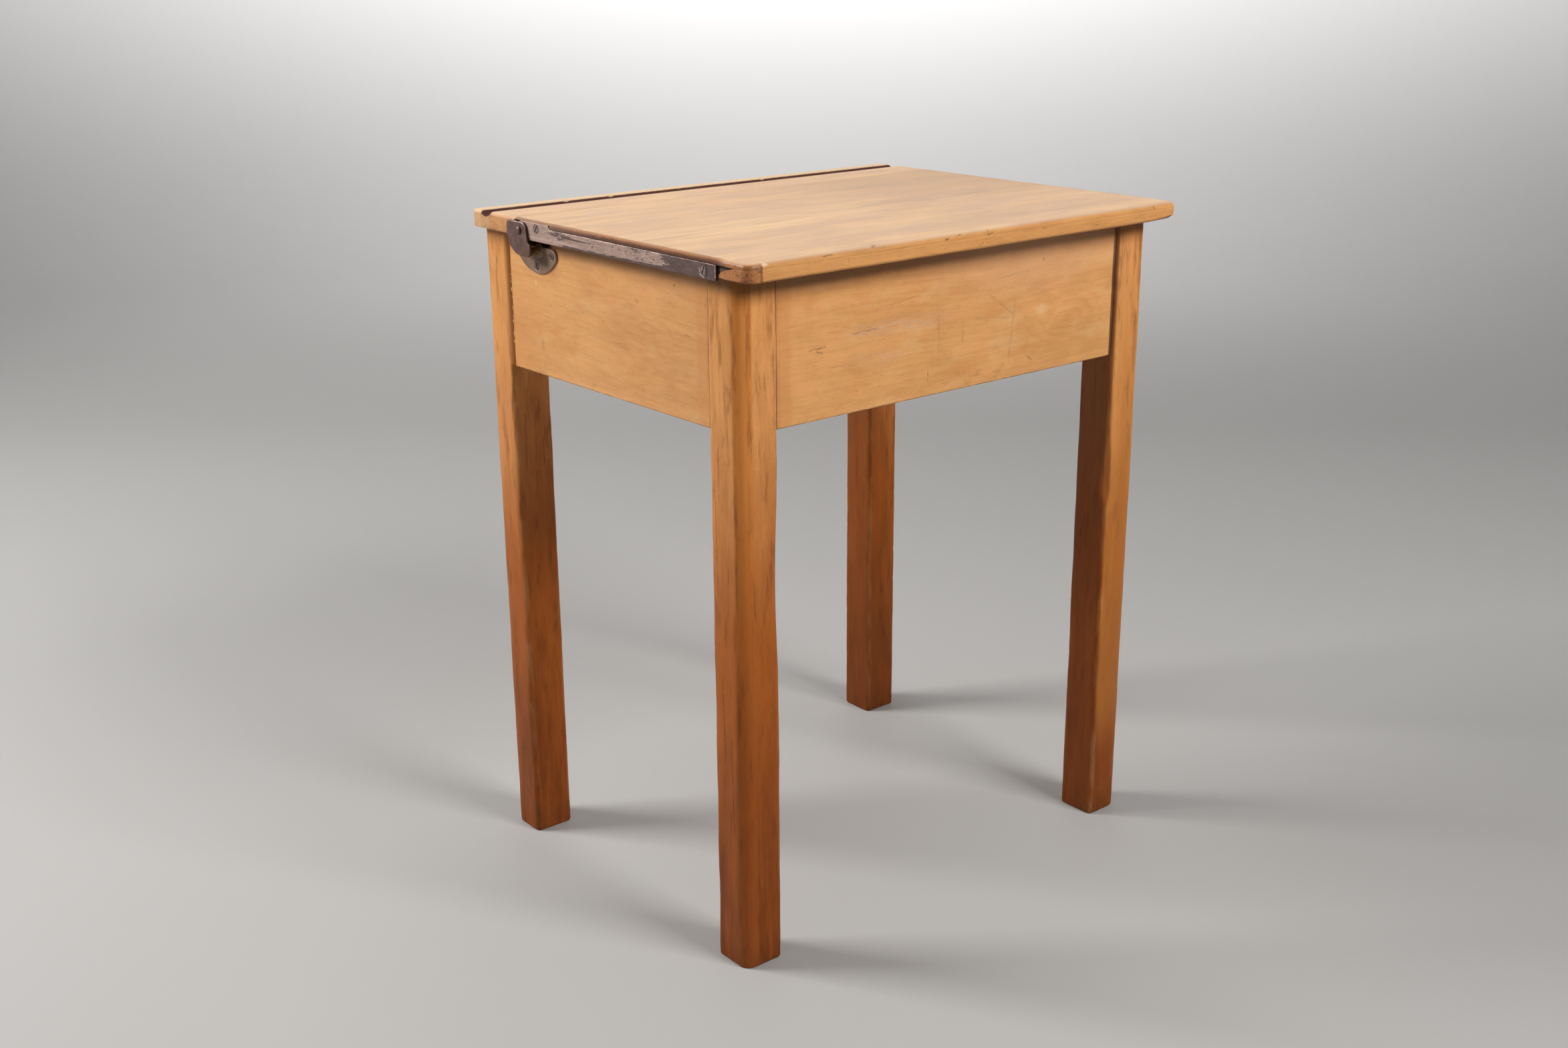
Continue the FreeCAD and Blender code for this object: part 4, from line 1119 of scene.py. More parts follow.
class DESK_OT_legs(bpy.types.Operator):
    """Make the four worn legs"""

    bl_idname = "desk.legs"
    bl_label = "Legs"

    def execute(self, context):
        scene = context.scene
        for end in ("front", "rear"):
            for side in ("left", "right"):
                node = f"leg_{end}_{side}"
                low, high = box_mm(node)
                hollow = left_hollow if side == "left" else right_hollow
                rings = leg_rings(low, high, scene.desk_wear, hollow)
                piece = piece_from("worn_" + node, lambda bm: skin(bm, rings))
                material = leg_wood(f"{node}_wood", scene.desk_wood, low, high)
                finish_piece(piece, material, "frame", "leg_wood", node)
        return {"FINISHED"}


def apron_corners(node, along_x):
    """Corners of an apron's face; a side apron is scooped under the lid's turning edge."""
    low, high = box_mm(node)
    inner_leg = box_mm("leg_front_right")[0][0]
    if along_x:
        return [(-inner_leg, low[2], 0), (inner_leg, low[2], 0), (inner_leg, high[2], 0),
                (-inner_leg, high[2], 0)]
    start = box_mm("leg_front_right")[1][1]
    stop = box_mm("leg_rear_right")[0][1]
    dip = PIVOT_Z - SCOOP_DROP
    return [(start, low[2], 0), (stop, low[2], 0), (stop, high[2], 0),
            (PIVOT_Y + 36, high[2], 0), (PIVOT_Y + 30, dip, 10), (PIVOT_Y - 30, dip, 10),
            (PIVOT_Y - 36, high[2], 0), (start, high[2], 0)]


def filler_chips(bm, seed):
    """Crumbs of old glue along the joint of the left apron and the rear leg."""
    pick = random.Random(seed)
    joint_y = box_mm("leg_rear_left")[0][1]
    face_x = box_mm("apron_left")[0][0]
    z = 611.0
    while z < 716:
        long = pick.uniform(1.2, 6.5)
        wide = pick.uniform(0.7, 1.9)
        if pick.random() < 0.62:
            middle = joint_y - wide * 0.55
            ring = []
            for k in range(9):
                a = 2 * math.pi * k / 9
                far = pick.uniform(0.75, 1.1)
                ring.append((middle + math.cos(a) * wide / 2 * far,
                             z + math.sin(a) * long / 2 * far))
            flat = [(face_x + 0.6, 1.0), (face_x - 0.25, 1.0), (face_x - 0.55, 0.55)]
            skin(bm, [[(x, middle + (y - middle) * k, z + (h - z) * k) for y, h in ring]
                      for x, k in flat])
        z += long * pick.uniform(1.0, 2.4)


class DESK_OT_aprons(bpy.types.Operator):
    """Make the four aprons and the old glue in one joint"""

    bl_idname = "desk.aprons"
    bl_label = "Aprons"

    def execute(self, context):
        wood, wear = context.scene.desk_wood, context.scene.desk_wear
        for name, along_x in (("front", True), ("rear", True), ("left", False), ("right", False)):
            node = "apron_" + name
            low, high = box_mm(node)
            outline = rounded_outline(apron_corners(node, along_x), 6, 24)
            inner_x = box_mm("leg_front_right")[0][0]
            outer = -1 if name in ("front", "left") else 1
            near, far = (low[1], high[1]) if along_x else (low[0], high[0])
            profile = eased(near, far, 1.5, 1.5)

            def ease(u, v):
                more = 1.0 + 0.35 * rough(u, v, near, 22, wear.seed)
                if name == "front" and u > inner_x - 3:
                    more *= 1.7
                return more if v < high[2] - 2 else 0.35

            def place(u, v, h):
                by = 0.10 * rough(u, v, h, 60, 4.2)
                return (u, h + by, v) if along_x else (h + by, u, v)

            piece = piece_from("board_" + node,
                               lambda bm: plate(bm, outline, profile, place, ease))
            axis = 0 if along_x else 1
            low[axis] = min(point[0] for point in outline)
            high[axis] = max(point[0] for point in outline)
            material = apron_wood(f"{node}_wood", wood, low, high, along_x, outer)
            finish_piece(piece, material, "frame", "apron_wood", node)
        chips = piece_from("joint_filler", lambda bm: filler_chips(bm, wear.seed))
        finish_piece(chips, old_filler("joint_filler", wood), "frame", "apron_wood")
        return {"FINISHED"}


class LidEdge:
    """Sections through the edge of the lid, each a list of (inset, height)."""

    def __init__(self, low, high, strap_front, tab_front, wear):
        self.low, self.high = low, high
        self.strap_front, self.tab_front = strap_front, tab_front
        self.arris, self.dent, self.seed = wear.arris / MM, wear.dent / MM, wear.seed
        self.worn = wear.corner / MM
        self.front_board = low[1] < -200

    def section(self, x, y, zone, run=0.0):
        """One section; the zone says whether the strap's rebate or the saw's slot cuts it."""
        low, high = self.low[2], self.high[2]
        radius = 4.0 + self.arris * rough(x, y, 0, 45, self.seed)
        chip = self.dent * max(0.0, rough(x, y, 3, 8, self.seed) - 0.32)
        under = 1.5 + self.arris * rough(x, y, 9, 30, self.seed)
        step = high - (TAB_DROP if zone == "tab" else REBATE_DROP)
        rebate = zone in ("strap", "tab")
        soft = max(0.0, min(1.0, (x - 262) / 40)) * max(0.0, min(1.0, (-212 - y) / 25))
        radius += 1.0 * (y < -240) + 1.8 * soft
        under += 3.6 * soft
        depth = REBATE if rebate else (REBATE * min(1.0, run * 2.2) if zone == "slot" else 0.05)
        outer = depth if rebate else 0.0
        if zone == "slot":
            outer = max(0.0, 2.3 * run * run + 0.5 * run * rough(y, x, 0, 3, self.seed))
            depth = max(depth, outer)
        slot_low = step - (0.5 + 4.6 * run + 4.2 * run ** 5 if zone == "slot" else 1.0)
        points = [(outer + under + 4, low), (outer + (0.3 if rebate else under), low)]
        points.append((outer, low + (0.3 if rebate else under * 0.8)))
        for k in range(1, 7):
            points.append((outer, low + 2.0 + (slot_low - low - 2.0) * k / 7))
        points.append((outer, slot_low))
        points.append((depth, slot_low + 0.1))
        points.append((depth, step))
        points.append((0.12, step))
        lip = step + 0.3
        first = 0.0
        if lip > high - radius:
            first = math.asin((lip - high + radius) / radius)
        points.append((radius * (1 - math.cos(first)), lip))
        for k in range(1, 9):
            a = first + (math.pi / 2 - first) * k / 8
            points.append((radius * (1 - math.cos(a)) + chip, high - radius * (1 - math.sin(a))
                           - chip * 0.6 * math.cos(a)))
        points.append((radius + 3.0, high))
        return points


def lid_board_rings(edge):
    """Stations round one board of the lid, turned into rings from its underside to its top."""
    low, high = edge.low, edge.high
    stations = []

    def on_end(side, y, zone, run=0.0):
        x = high[0] if side > 0 else low[0]
        stations.append([(x - side * inset, y, z)
                         for inset, z in edge.section(x, y, zone, run)])

    def spread(a, b, step):
        count = max(2, int(abs(b - a) / step))
        return [a + (b - a) * k / count for k in range(count + 1)]

    slot_end = edge.strap_front - SLOT_REACH
    if edge.front_board:
        def end_runs(side):
            runs = [(y, "strap", 0.0) for y in spread(high[1], edge.strap_front, 6)]
            runs += [(y, "slot", min(1.0, (y - slot_end) / SLOT_SLOPE))
                     for y in spread(edge.strap_front - 0.05, slot_end, 3)]
            runs += [(y, "plain", 0.0) for y in (slot_end - 0.5, low[1] + 17.2)]
            if side > 0:
                runs.reverse()
            for run in runs:
                on_end(side, *run)

        def corner(side, worn):
            angles = [math.pi + math.pi / 2 * k / 10 for k in range(11)]
            if side > 0:
                angles = [3 * math.pi / 2 + math.pi / 2 * k / 10 for k in range(11)]
            for a in angles:
                x = (high[0] if side > 0 else low[0])
                ring = []
                for inset, z in edge.section(x + 40 * math.cos(a), low[1] + 40 * math.sin(a),
                                             "plain"):
                    fall = 1 - (z - low[2]) / (high[2] - low[2])
                    radius = 9.0 + (worn - 9.0) * fall ** 0.8
                    radius += 0.9 * rough(a * 9, z, side, 5, edge.seed)
                    ring.append((x - side * radius + (radius - inset) * math.cos(a),
                                 low[1] + radius + (radius - inset) * math.sin(a), z))
                stations.append(ring)

        end_runs(-1)
        corner(-1, edge.worn)
        for x in spread(low[0] + 20, high[0] - 20, 3.5):
            stations.append([(x, low[1] + inset, z)
                             for inset, z in edge.section(x, low[1], "plain")])
        corner(1, 11.0)
        end_runs(1)
        for x in spread(high[0] - 8, low[0] + 8, 40):
            stations.append([(x, high[1], z) for _, z in edge.section(x, high[1], "strap")])
    else:
        def rear(z, y):
            reach = math.hypot(LID_BACK, PIVOT_DROP)
            return y if y < PIVOT_Y else PIVOT_Y + math.sqrt(reach ** 2 - (z - PIVOT_Z) ** 2)

        back = PIVOT_Y + LID_BACK
        ys = spread(low[1], edge.tab_front, 6)
        ys_tab = spread(edge.tab_front + 0.05, back, 6)
        for y in reversed(ys_tab):
            on_end(-1, y, "tab")
        for y in reversed(ys):
            on_end(-1, y, "strap")
        for x in spread(low[0] + 8, high[0] - 8, 40):
            stations.append([(x, low[1], z) for _, z in edge.section(x, low[1], "strap")])
        for y in ys:
            on_end(1, y, "strap")
        for y in ys_tab:
            on_end(1, y, "tab")
        levels = [z for _, z in edge.section(high[0], back, "tab")]
        for x in spread(high[0] - 8, low[0] + 8, 12):
            stations.append([(x, back, z) for z in levels])
        for station in stations:
            for k, (x, y, z) in enumerate(station):
                if y > back - 0.01:
                    station[k] = (x, rear(z, y), z)
    return [list(ring) for ring in zip(*stations)]


class DESK_OT_lid(bpy.types.Operator):
    """Make the two boards of the lid"""

    bl_idname = "desk.lid"
    bl_label = "Lid boards"

    def execute(self, context):
        wood, wear = context.scene.desk_wood, context.scene.desk_wear
        strap_low, _ = box_mm("lid_strap_left")
        whole_low, _ = box_mm("lid_board_front")
        _, whole_high = box_mm("lid_board_rear")
        material = top_wood("lid_wood", wood, whole_low, whole_high)
        for name in ("front", "rear"):
            node = "lid_board_" + name
            low, high = box_mm(node)
            edge = LidEdge(low, high, strap_low[1] - STRAP_GAP, PIVOT_Y - 55.1, wear)
            rings = lid_board_rings(edge)
            piece = piece_from("top_" + node, lambda bm: skin(bm, rings), 50)
            finish_piece(piece, material, "lid", "top_wood", node)
        return {"FINISHED"}


def ledge_section(low, high, s, x, wear):
    """Section through the pen ledge at s from its nearer end: rounded back, groove and cove."""
    top = high[2]
    radius = 4.0 + wear.arris / MM * rough(x, 9, 0, 45, wear.seed)
    cap = top - radius + math.sqrt(max(0.0, radius ** 2 - max(0.0, radius - s) ** 2))
    plan = 7 - math.sqrt(max(0.0, 49 - max(0.0, 7 - s) ** 2))
    cove = math.hypot(LEDGE_FRONT, PIVOT_DROP)
    front = PIVOT_Y + LEDGE_FRONT
    groove_y, groove_r = high[1] - GROOVE_INSET, 34 / 3
    points = [(front, top - 0.2), (front + 0.5, top)]
    for k in range(1, 6):
        points.append((front + 0.5 + (groove_y - 10.4 - front) * k / 6, top))
    for k in range(13):
        a = math.radians(-62 + 124 * k / 12)
        ragged = 0.05 * rough(x, k, 2, 11, wear.seed)
        if k == 12:
            ragged += 0.5 * max(0.0, rough(x, 4, 8, 9, wear.seed) - 0.34)
            ragged += 0.4 * sum(max(0.0, 1 - abs(x - at) / 4) for at in GROOVE_CHIPS)
        if k in (0, 12):
            ragged = max(0.0, ragged) * (-1.0 if k == 0 else 1.6)
            points.append((groove_y + groove_r * math.sin(a) + ragged, top - 0.02))
        else:
            points.append((groove_y + groove_r * math.sin(a),
                           top - 6 + groove_r * (1 - math.cos(a)) + ragged * 0.5))
    back = high[1]
    for k in range(9):
        a = math.pi / 2 * k / 8
        points.append((back - radius * (1 - math.sin(a)), top - radius * (1 - math.cos(a))))
    points += [(back, low[2] + 6), (back, low[2] + 1.5), (back - 1.5, low[2])]
    foot = PIVOT_Y + math.sqrt(cove ** 2 - (low[2] - PIVOT_Z) ** 2)
    points.append((foot + 12, low[2]))
    for k in range(11):
        z = low[2] + (top - 0.2 - low[2]) * k / 11
        points.append((PIVOT_Y + math.sqrt(cove ** 2 - (z - PIVOT_Z) ** 2), z))
    squeezed = []
    gate = groove_y + 12
    for y, z in points:
        if y > gate:
            y = gate + (y - gate) * (1 - plan / (back - gate))
        squeezed.append((x, y, min(z, cap) if z > low[2] + 8 else z))
    return squeezed


class DESK_OT_ledge(bpy.types.Operator):
    """Make the grooved pen ledge"""

    bl_idname = "desk.ledge"
    bl_label = "Pen ledge"

    def execute(self, context):
        wood, wear = context.scene.desk_wood, context.scene.desk_wear
        low, high = box_mm("pen_ledge")
        near = [0, 0.12, 0.4, 0.9, 1.5, 2.3, 3.2, 4.1, 5.2, 7, 9, 12]
        xs = [low[0] + s for s in near]
        while xs[-1] < high[0] - 15:
            xs.append(xs[-1] + 2.6)
        xs += [high[0] - s for s in reversed(near)]
        rings = [ledge_section(low, high, min(x - low[0], high[0] - x), x, wear) for x in xs]
        piece = piece_from("grooved_pen_ledge", lambda bm: skin(bm, rings), 50)
        material = top_wood("ledge_wood", wood, low, high, ledge=True)
        finish_piece(piece, material, "frame", "top_wood", "pen_ledge")
        return {"FINISHED"}


class DESK_OT_locker(bpy.types.Operator):
    """Finish the locker's panel and bearers and the dowels"""

    bl_idname = "desk.locker"
    bl_label = "Locker"

    def execute(self, context):
        wood = context.scene.desk_wood
        places = {"locker_bottom": (wood.panel, "x"), "bearer_front": (wood.bare, "x"),
                  "bearer_rear": (wood.bare, "x"), "bearer_left": (wood.bare, "y"),
                  "bearer_right": (wood.bare, "y"), "ledge_dowels": (wood.bare, "z")}
        for node, (tint, axis) in places.items():
            low, high = box_mm(node)
            dress_node(node, plain_wood(node + "_wood", tint, wood.dirt, axis, low, high))
        return {"FINISHED"}


def screw_seats(bm, screws, face, side):
    """Countersinks round the heads of screws."""
    for y, z, _ in screws:
        turned(bm, [(face + 0.6, 5.5), (face - 2.65, 2.25), (face - 6.0, 2.25)],
               lambda at, u, v: (side * at, y + u, z + v))


class DESK_OT_straps(bpy.types.Operator):
    """Make the straps let into the lid's ends"""

    bl_idname = "desk.straps"
    bl_label = "Lid straps"

    def execute(self, context):
        steel, wear = context.scene.desk_steel, context.scene.desk_wear
        for name, side in SIDES:
            node = "lid_strap_" + name
            low, high = box_mm(node)
            inner, outer = faces_mm(node, side)
            top = PIVOT_Z + 5.8
            corners = [(high[1], high[2], 10), (PIVOT_Y - TAB_SHOULDER, high[2], 1.5),
                       (PIVOT_Y - TAB_BASE, top, 1.8), (low[1], top, 1.5), (low[1], low[2], 1.5),
                       (high[1], low[2], 9.9)]
            outline = rounded_outline(corners, 8, 30)

            def place(u, v, h):
                bend = 0.08 * rough(u, 0, 0, 70, wear.seed)
                return (side * (h - abs(bend)), u, v)

            piece = piece_from("steel_" + node,
                               lambda bm: plate(bm, outline, eased(inner, outer, 0.15, 0.75),
                                                place,
                                                lambda u, v: 1 + 0.4 * rough(u, v, 0, 12)))
            cut(piece, lambda bm: screw_seats(bm, STRAP_SCREWS, outer, side))
            finish_piece(piece, strap_steel(node + "_steel", steel), "lid", "strap_steel", node)
        return {"FINISHED"}


def arm_corners():
    """Comma shape of the bracket's arm."""
    return [(PIVOT_Y + u, PIVOT_Z + v, r) for u, v, r in (
        (26.0, 9.0, 6.0), (-9.6, 9.0, 7.0), (-15.2, -12.5, 5.0), (-19.8, -15.2, 2.2),
        (-19.8, -28.0, 6.4), (26.0, -28.0, 26.4))]


def plate_outline(radius=48.0, corner=8.0):
    """Disc cut off straight above its middle, with rounded corners, as an outline."""
    middle, drop = PIVOT_Y - PLATE_SHIFT, SCOOP_DROP + corner
    run = math.sqrt((radius - corner) ** 2 - drop ** 2)
    turn = -math.atan2(drop, run)
    points = []
    for u, v, r, start, stop, steps in (
            (middle, PIVOT_Z, radius, -math.pi - turn, turn, 44),
            (middle + run, PIVOT_Z - drop, corner, turn, math.pi / 2, 9),
            (middle - run, PIVOT_Z - drop, corner, math.pi / 2, math.pi - turn, 9)):
        for k in range(steps):
            way = start + (stop - start) * (k + (r == corner)) / steps
            points.append((u + r * math.cos(way), v + r * math.sin(way), math.cos(way),
                           math.sin(way)))
    return points


class DESK_OT_brackets(bpy.types.Operator):
    """Make the cast hinge brackets"""

    bl_idname = "desk.brackets"
    bl_label = "Hinge brackets"

    def execute(self, context):
        steel = context.scene.desk_steel
        for name, side in SIDES:
            node = "hinge_bracket_" + name
            inner, outer = faces_mm(node, side)
            front = inner + PLATE_THICK

            def place(u, v, h):
                return (side * h, u, v)

            def base(bm):
                plate(bm, plate_outline(), eased(inner, front, 0.1, 1.1), place)

            def arm_and_post(bm):
                plate(bm, rounded_outline(arm_corners(), 9, 6), eased(outer - 3, outer, 0.3, 1.0),
                      place)
                start, stop = inner + 1.6, outer - 1.5
                post = [(start, 8.0), (front, 7.6)]
                post += [(front + 5 * t, 4.2 + 3.4 * (1 - t) ** 2.4)
                         for t in (0.15, 0.35, 0.6, 1.0)]
                post += [(outer - 3 - 3.4 * t, 4.1 + 1.7 * (1 - t) ** 2)
                         for t in (1.0, 0.6, 0.3, 0.0)] + [(stop, 5.8)]
                turned(bm, post, lambda at, u, v: (side * at, PIVOT_Y - 13 + u,
                                                   PIVOT_Z - 22.4 + v))

            piece = piece_from("cast_" + node, base)
            cut(piece, lambda bm: screw_seats(bm, PLATE_SCREWS, front, side))
            arm = piece_from(node + "_arm", arm_and_post)
            joined = bmesh.new()
            joined.from_mesh(piece.data)
            joined.from_mesh(arm.data)
            joined.to_mesh(piece.data)
            joined.free()
            bpy.data.objects.remove(arm)
            piece.data.set_sharp_from_angle(angle=math.radians(38))
            finish_piece(piece, bracket_iron(node + "_iron", steel), "frame", "bracket_iron",
                         node)
        return {"FINISHED"}


# --- Fasteners by geometry nodes --------------------------------------------------


class Recipe(Tree):
    """A geometry tree with named sizes in millimetres and a material for what it makes."""

    def __init__(self, name, sizes):
        group = bpy.data.node_groups.new(name, "GeometryNodeTree")
        group.interface.new_socket("Geometry", in_out="INPUT", socket_type="NodeSocketGeometry")
        for label, value in sizes.items():
            made = group.interface.new_socket(label, in_out="INPUT", socket_type="NodeSocketFloat")
            made.default_value = value * MM
        group.interface.new_socket("Material", in_out="INPUT", socket_type="NodeSocketMaterial")
        group.interface.new_socket("Geometry", in_out="OUTPUT", socket_type="NodeSocketGeometry")
        super().__init__(group)
        self.group = group
        self.ports = group.nodes.new("NodeGroupInput").outputs

    def size(self, label):
        return Socket(self, self.ports[label])

    def moved(self, mesh, x=0.0, y=0.0, z=0.0, turn=(0.0, 0.0, 0.0), scale=None):
        place = self.node("ShaderNodeCombineXYZ", None, {0: x, 1: y, 2: z})
        inputs = {"Geometry": mesh, "Translation": place, "Rotation": turn}
        if scale is not None:
            inputs["Scale"] = scale
        return self.node("GeometryNodeTransform", None, inputs)

    def join(self, *meshes):
        made = self.nodes.nodes.new("GeometryNodeJoinGeometry")
        for mesh in meshes:
            self.nodes.links.new(mesh.socket, made.inputs[0])
        return Socket(self, made.outputs[0])

    def scatter(self, mesh):
        """Copies of a shape on the points, turned by their own attributes, made real."""
        turn = self.node("GeometryNodeInputNamedAttribute", {"data_type": "FLOAT_VECTOR"},
                         {"Name": "turn"})
        points = self.node("GeometryNodeMeshToPoints", None,
                           {"Mesh": self.size("Geometry")})
        spin = self.node("FunctionNodeEulerToRotation", None, {0: turn})
        copies = self.node("GeometryNodeInstanceOnPoints", None,
                           {"Points": points, "Instance": mesh, "Rotation": spin})
        real = self.node("GeometryNodeRealizeInstances", None, {"Geometry": copies})
        done = self.node("GeometryNodeSetMaterial", None,
                         {"Geometry": real, "Material": self.size("Material")})
        self.node("NodeGroupOutput", None, {"Geometry": done})


def screw_recipe():
    """Countersunk head with an eased rim and a sawn slot, and a plain shank."""
    t = Recipe("slotted_screws", {"Head Radius": 4.55, "Shank Radius": 2.1, "Length": 15.0,
                                  "Slot Width": 1.25, "Slot Depth": 1.0, "Rim": 0.28})
    head, shank, rim = t.size("Head Radius"), t.size("Shank Radius"), t.size("Rim")
    ring = {"Vertices": 40, "Side Segments": 1}
    taper = t.node("GeometryNodeMeshCone", None, {
        **ring, "Radius Top": head, "Radius Bottom": shank, "Depth": head - shank})
    taper = t.moved(taper, z=-1 * (head - shank) - rim)
    crown = t.node("GeometryNodeMeshCone", None, {
        **ring, "Radius Top": head - rim * 1.6, "Radius Bottom": head, "Depth": rim})
    crown = t.moved(crown, z=-1 * rim)
    body = t.node("GeometryNodeMeshCylinder", None,
                  {"Vertices": 20, "Radius": shank, "Depth": t.size("Length")})
    body = t.moved(body, z=t.size("Length") * -0.5 - rim)
    block = t.node("ShaderNodeCombineXYZ", None,
                   {0: head * 3, 1: t.size("Slot Width"), 2: t.size("Slot Depth") * 2})
    slot = t.node("GeometryNodeMeshCube", None, {"Size": block})
    whole = t.nodes.nodes.new("GeometryNodeMeshBoolean")
    whole.operation = "UNION"
    whole.solver = "EXACT"
    for mesh in (taper, crown, body):
        t.nodes.links.new(mesh.socket, whole.inputs["Mesh 2"])
    sawn = t.node("GeometryNodeMeshBoolean", {"operation": "DIFFERENCE", "solver": "EXACT"},
                  {"Mesh 1": Socket(t, whole.outputs["Mesh"]), "Mesh 2": slot})
    t.scatter(sawn)
    return t.group


def rivet_recipe():
    """Domed head outside, shank, and a flat head inside."""
    t = Recipe("headed_rivets", {"Dome Radius": 4.6, "Dome Height": 2.7, "Shank Radius": 3.0,
                                 "Grip": 6.6, "Inner Head Radius": 4.3, "Inner Head Height": 1.3})
    dome_scale = t.node("ShaderNodeCombineXYZ", None, {
        0: t.size("Dome Radius"), 1: t.size("Dome Radius"), 2: t.size("Dome Height")})
    ball = t.node("GeometryNodeMeshUVSphere", None,
                  {"Segments": 36, "Rings": 20, "Radius": 1.0})
    dome = t.moved(ball, scale=dome_scale)
    grip = t.size("Grip")
    shank = t.node("GeometryNodeMeshCylinder", None,
                   {"Vertices": 28, "Radius": t.size("Shank Radius"), "Depth": grip})
    shank = t.moved(shank, z=grip * -0.5)
    inner = t.node("GeometryNodeMeshCylinder", None, {
        "Vertices": 28, "Radius": t.size("Inner Head Radius"),
        "Depth": t.size("Inner Head Height")})
    inner = t.moved(inner, z=grip * -1 - t.size("Inner Head Height") * 0.5)
    t.scatter(t.join(dome, shank, inner))
    return t.group


def fasteners(name, recipe, places, face, material, body, slot, node):
    """Runs a recipe over the places of both ends and keeps the result as a plain mesh."""
    mesh = bpy.data.meshes.new(name)
    spots, turns = [], []
    for side in (-1, 1):
        for y, z, turn in places:
            spots.append((side * face * MM, y * MM, z * MM))
            face_out = Matrix.Rotation(side * math.pi / 2, 3, "Y")
            spin = Matrix.Rotation(math.radians(turn - 90), 3, "X")
            turns.append((spin @ face_out).to_euler())
    mesh.from_pydata(spots, [], [])
    turn_data = mesh.attributes.new("turn", "FLOAT_VECTOR", "POINT")
    for item, turn in zip(turn_data.data, turns):
        item.vector = turn
    piece = add_object(name, mesh)
    modifier = piece.modifiers.new("recipe", "NODES")
    modifier.node_group = recipe
    for item in recipe.interface.items_tree:
        if item.in_out == "INPUT" and item.name == "Material":
            modifier[item.identifier] = material
    settle(piece)
    piece.data.shade_smooth()
    piece.data.set_sharp_from_angle(angle=math.radians(32))
    finish_piece(piece, material, body, slot, node)


class DESK_OT_fasteners(bpy.types.Operator):
    """Make the slotted screws and the pivot rivets"""

    bl_idname = "desk.fasteners"
    bl_label = "Screws and rivets"

    def execute(self, context):
        steel = context.scene.desk_steel
        strap_face = faces_mm("lid_strap_right", 1)[1]
        bracket_inner, arm_face = faces_mm("hinge_bracket_right", 1)
        plate_face = bracket_inner + PLATE_THICK
        screws = screw_recipe()
        fasteners("slotted_strap_screws", screws, STRAP_SCREWS, strap_face + 0.2,
                  fastener_steel("strap_screw_steel", steel, steel.screw), "lid",
                  "screw_steel", "strap_screws")
        fasteners("slotted_bracket_screws", screws, PLATE_SCREWS, plate_face + 0.12,
                  fastener_steel("bracket_screw_steel", steel, shade(steel.screw, 0.42)),
                  "frame", "screw_steel", "bracket_screws")
        fasteners("domed_pivot_rivets", rivet_recipe(), ((PIVOT_Y, PIVOT_Z, 90.0),), arm_face,
                  fastener_steel("rivet_steel", steel, shade(steel.arm, 1.1)), "frame",
                  "rivet_steel", "pivot_rivets")
        return {"FINISHED"}


# --- Stage ------------------------------------------------------------------------


def soft_light(name, place, target, size, power, tint=(1.0, 1.0, 1.0)):
    data = bpy.data.lights.new(name, "AREA")
    data.shape = "RECTANGLE"
    data.size, data.size_y = size
    data.energy = power
    data.color = tint
    light = add_object(name, data)
    light.location = place
    light.visible_camera = False
    light.rotation_euler = (Vector(target) - Vector(place)).to_track_quat("-Z", "Y").to_euler()


WARM_WHITE = (1.0, 0.985, 0.965)
CAMERA_PLACE = (-1.31946, -1.51029, 1.04345)
CAMERA_TURN = (39.719, 18.190, -0.403)     # yaw, pitch down and roll, in degrees
FLOOR_DISC, FLOOR_RADIUS, WALL_CURVE, WALL_TOP = 2000.0, 4200.0, 1800, 2600.0


def sweep(bm):
    """Round floor that curves up into a wall."""
    steps, turns = 12, 96
    profile = [(0.0, FLOOR_DISC), (0.0, FLOOR_RADIUS)]
    for k in range(1, steps + 1):
        a = math.pi / 2 * k / steps
        profile.append((WALL_CURVE * (1 - math.cos(a)), FLOOR_RADIUS + WALL_CURVE * math.sin(a)))
    profile.append((WALL_TOP, FLOOR_RADIUS + WALL_CURVE))
    rows = []
    for height, radius in profile:
        rows.append([bm.verts.new((radius * math.cos(2 * math.pi * k / turns),
                                   radius * math.sin(2 * math.pi * k / turns), height))
                     for k in range(turns)])
    bm.faces.new(rows[0])
    for low, high in zip(rows, rows[1:]):
        for k in range(turns):
            j = (k + 1) % turns
            bm.faces.new((low[k], low[j], high[j], high[k]))


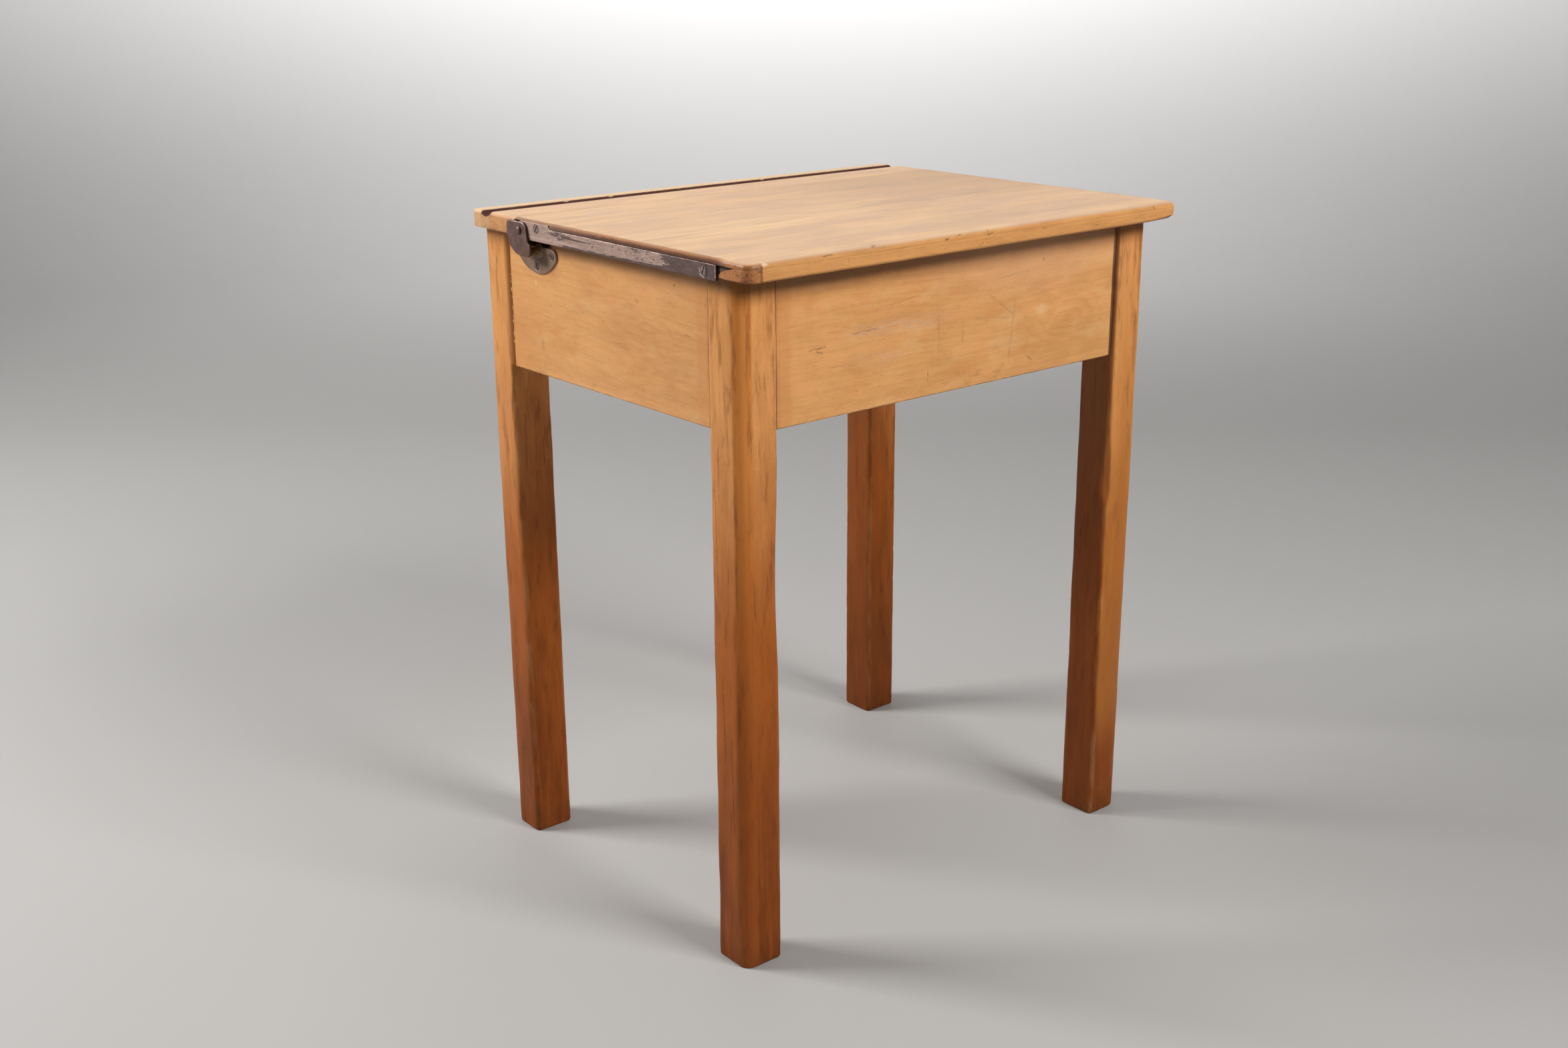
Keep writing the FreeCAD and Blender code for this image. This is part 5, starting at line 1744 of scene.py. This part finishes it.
class DESK_OT_stage(bpy.types.Operator):
    """Set the floor, the soft lights and the camera"""

    bl_idname = "desk.stage"
    bl_label = "Stage and camera"

    def execute(self, context):
        scene = context.scene
        stage = scene.desk_stage
        floor = piece_from("studio_floor", sweep)
        floor.data.materials.append(floor_paint("studio_floor", stage.floor))

        soft_light("left_light", (-2.3, 2.1, 2.35), (-0.2, 0.0, 0.6), (1.3, 1.1),
                   stage.left_power, WARM_WHITE)
        soft_light("front_light", (0.6, -3.0, 2.65), (0.0, 0.0, 0.5), (1.4, 1.3),
                   stage.front_power, WARM_WHITE)
        soft_light("backdrop_light", (2.2, 2.7, 2.7), (4.2, 5.0, 0.9), (2.6, 0.9),
                   stage.backdrop_power)
        soft_light("top_light", (0.1, 0.5, 3.1), (0.0, 0.0, 0.7), (2.2, 2.2), stage.top_power)

        world = bpy.data.worlds.new("studio")
        world.use_nodes = True
        sky = world.node_tree.nodes["Background"]
        sky.inputs["Color"].default_value = (1.0, 0.995, 0.985, 1.0)
        sky.inputs["Strength"].default_value = stage.sky
        scene.world = world
        scene.view_settings.view_transform = "Standard"

        yaw, pitch, roll = (math.radians(v) for v in CAMERA_TURN)
        right = Vector((math.cos(yaw), -math.sin(yaw), 0))
        ahead = Vector((math.sin(yaw), math.cos(yaw), 0))
        forward = ahead * math.cos(pitch) - Vector((0, 0, math.sin(pitch)))
        up = Vector((0, 0, math.cos(pitch))) + ahead * math.sin(pitch)
        across = right * math.cos(roll) + up * math.sin(roll)
        upright = up * math.cos(roll) - right * math.sin(roll)
        data = bpy.data.cameras.new("camera")
        data.sensor_width = 36.0
        data.sensor_fit = "HORIZONTAL"
        data.lens = stage.lens
        data.clip_start, data.clip_end = 0.05, 60.0
        camera = add_object("camera", data)
        turn = Matrix((across, upright, -forward)).transposed().to_4x4()
        camera.matrix_world = Matrix.Translation(CAMERA_PLACE) @ turn
        scene.camera = camera
        return {"FINISHED"}


# --- Panel and registration -------------------------------------------------------

MAKERS = ("stage", "legs", "aprons", "lid", "ledge", "locker", "straps", "brackets",
          "fasteners")
GROUPS = {"desk_wood": DeskWoodSettings, "desk_steel": DeskSteelSettings,
          "desk_wear": DeskWearSettings, "desk_stage": DeskStageSettings}


class DESK_PT_panel(bpy.types.Panel):
    """Lists the makers of the desk's pieces and their settings"""

    bl_idname = "DESK_PT_panel"
    bl_label = "School Desk"
    bl_space_type = "VIEW_3D"
    bl_region_type = "UI"
    bl_category = "Desk"

    def draw(self, context):
        for maker in MAKERS:
            self.layout.operator("desk." + maker)
        for group in GROUPS:
            box = self.layout.box()
            settings = getattr(context.scene, group)
            for name in settings.__annotations__:
                box.prop(settings, name)


CLASSES = (*GROUPS.values(), DESK_OT_stage, DESK_OT_legs, DESK_OT_aprons, DESK_OT_lid,
           DESK_OT_ledge, DESK_OT_locker, DESK_OT_straps, DESK_OT_brackets, DESK_OT_fasteners,
           DESK_PT_panel)


def register():
    for item in CLASSES:
        bpy.utils.register_class(item)
    for name, group in GROUPS.items():
        setattr(bpy.types.Scene, name, PointerProperty(type=group))


def unregister():
    for name in GROUPS:
        delattr(bpy.types.Scene, name)
    for item in reversed(CLASSES):
        bpy.utils.unregister_class(item)


def main():
    register()
    bpy.ops.desk.stage()
    bpy.ops.desk.legs()
    bpy.ops.desk.aprons()
    bpy.ops.desk.lid()
    bpy.ops.desk.ledge()
    bpy.ops.desk.locker()
    bpy.ops.desk.straps()
    bpy.ops.desk.brackets()
    bpy.ops.desk.fasteners()


if __name__ == "__main__":
    main()
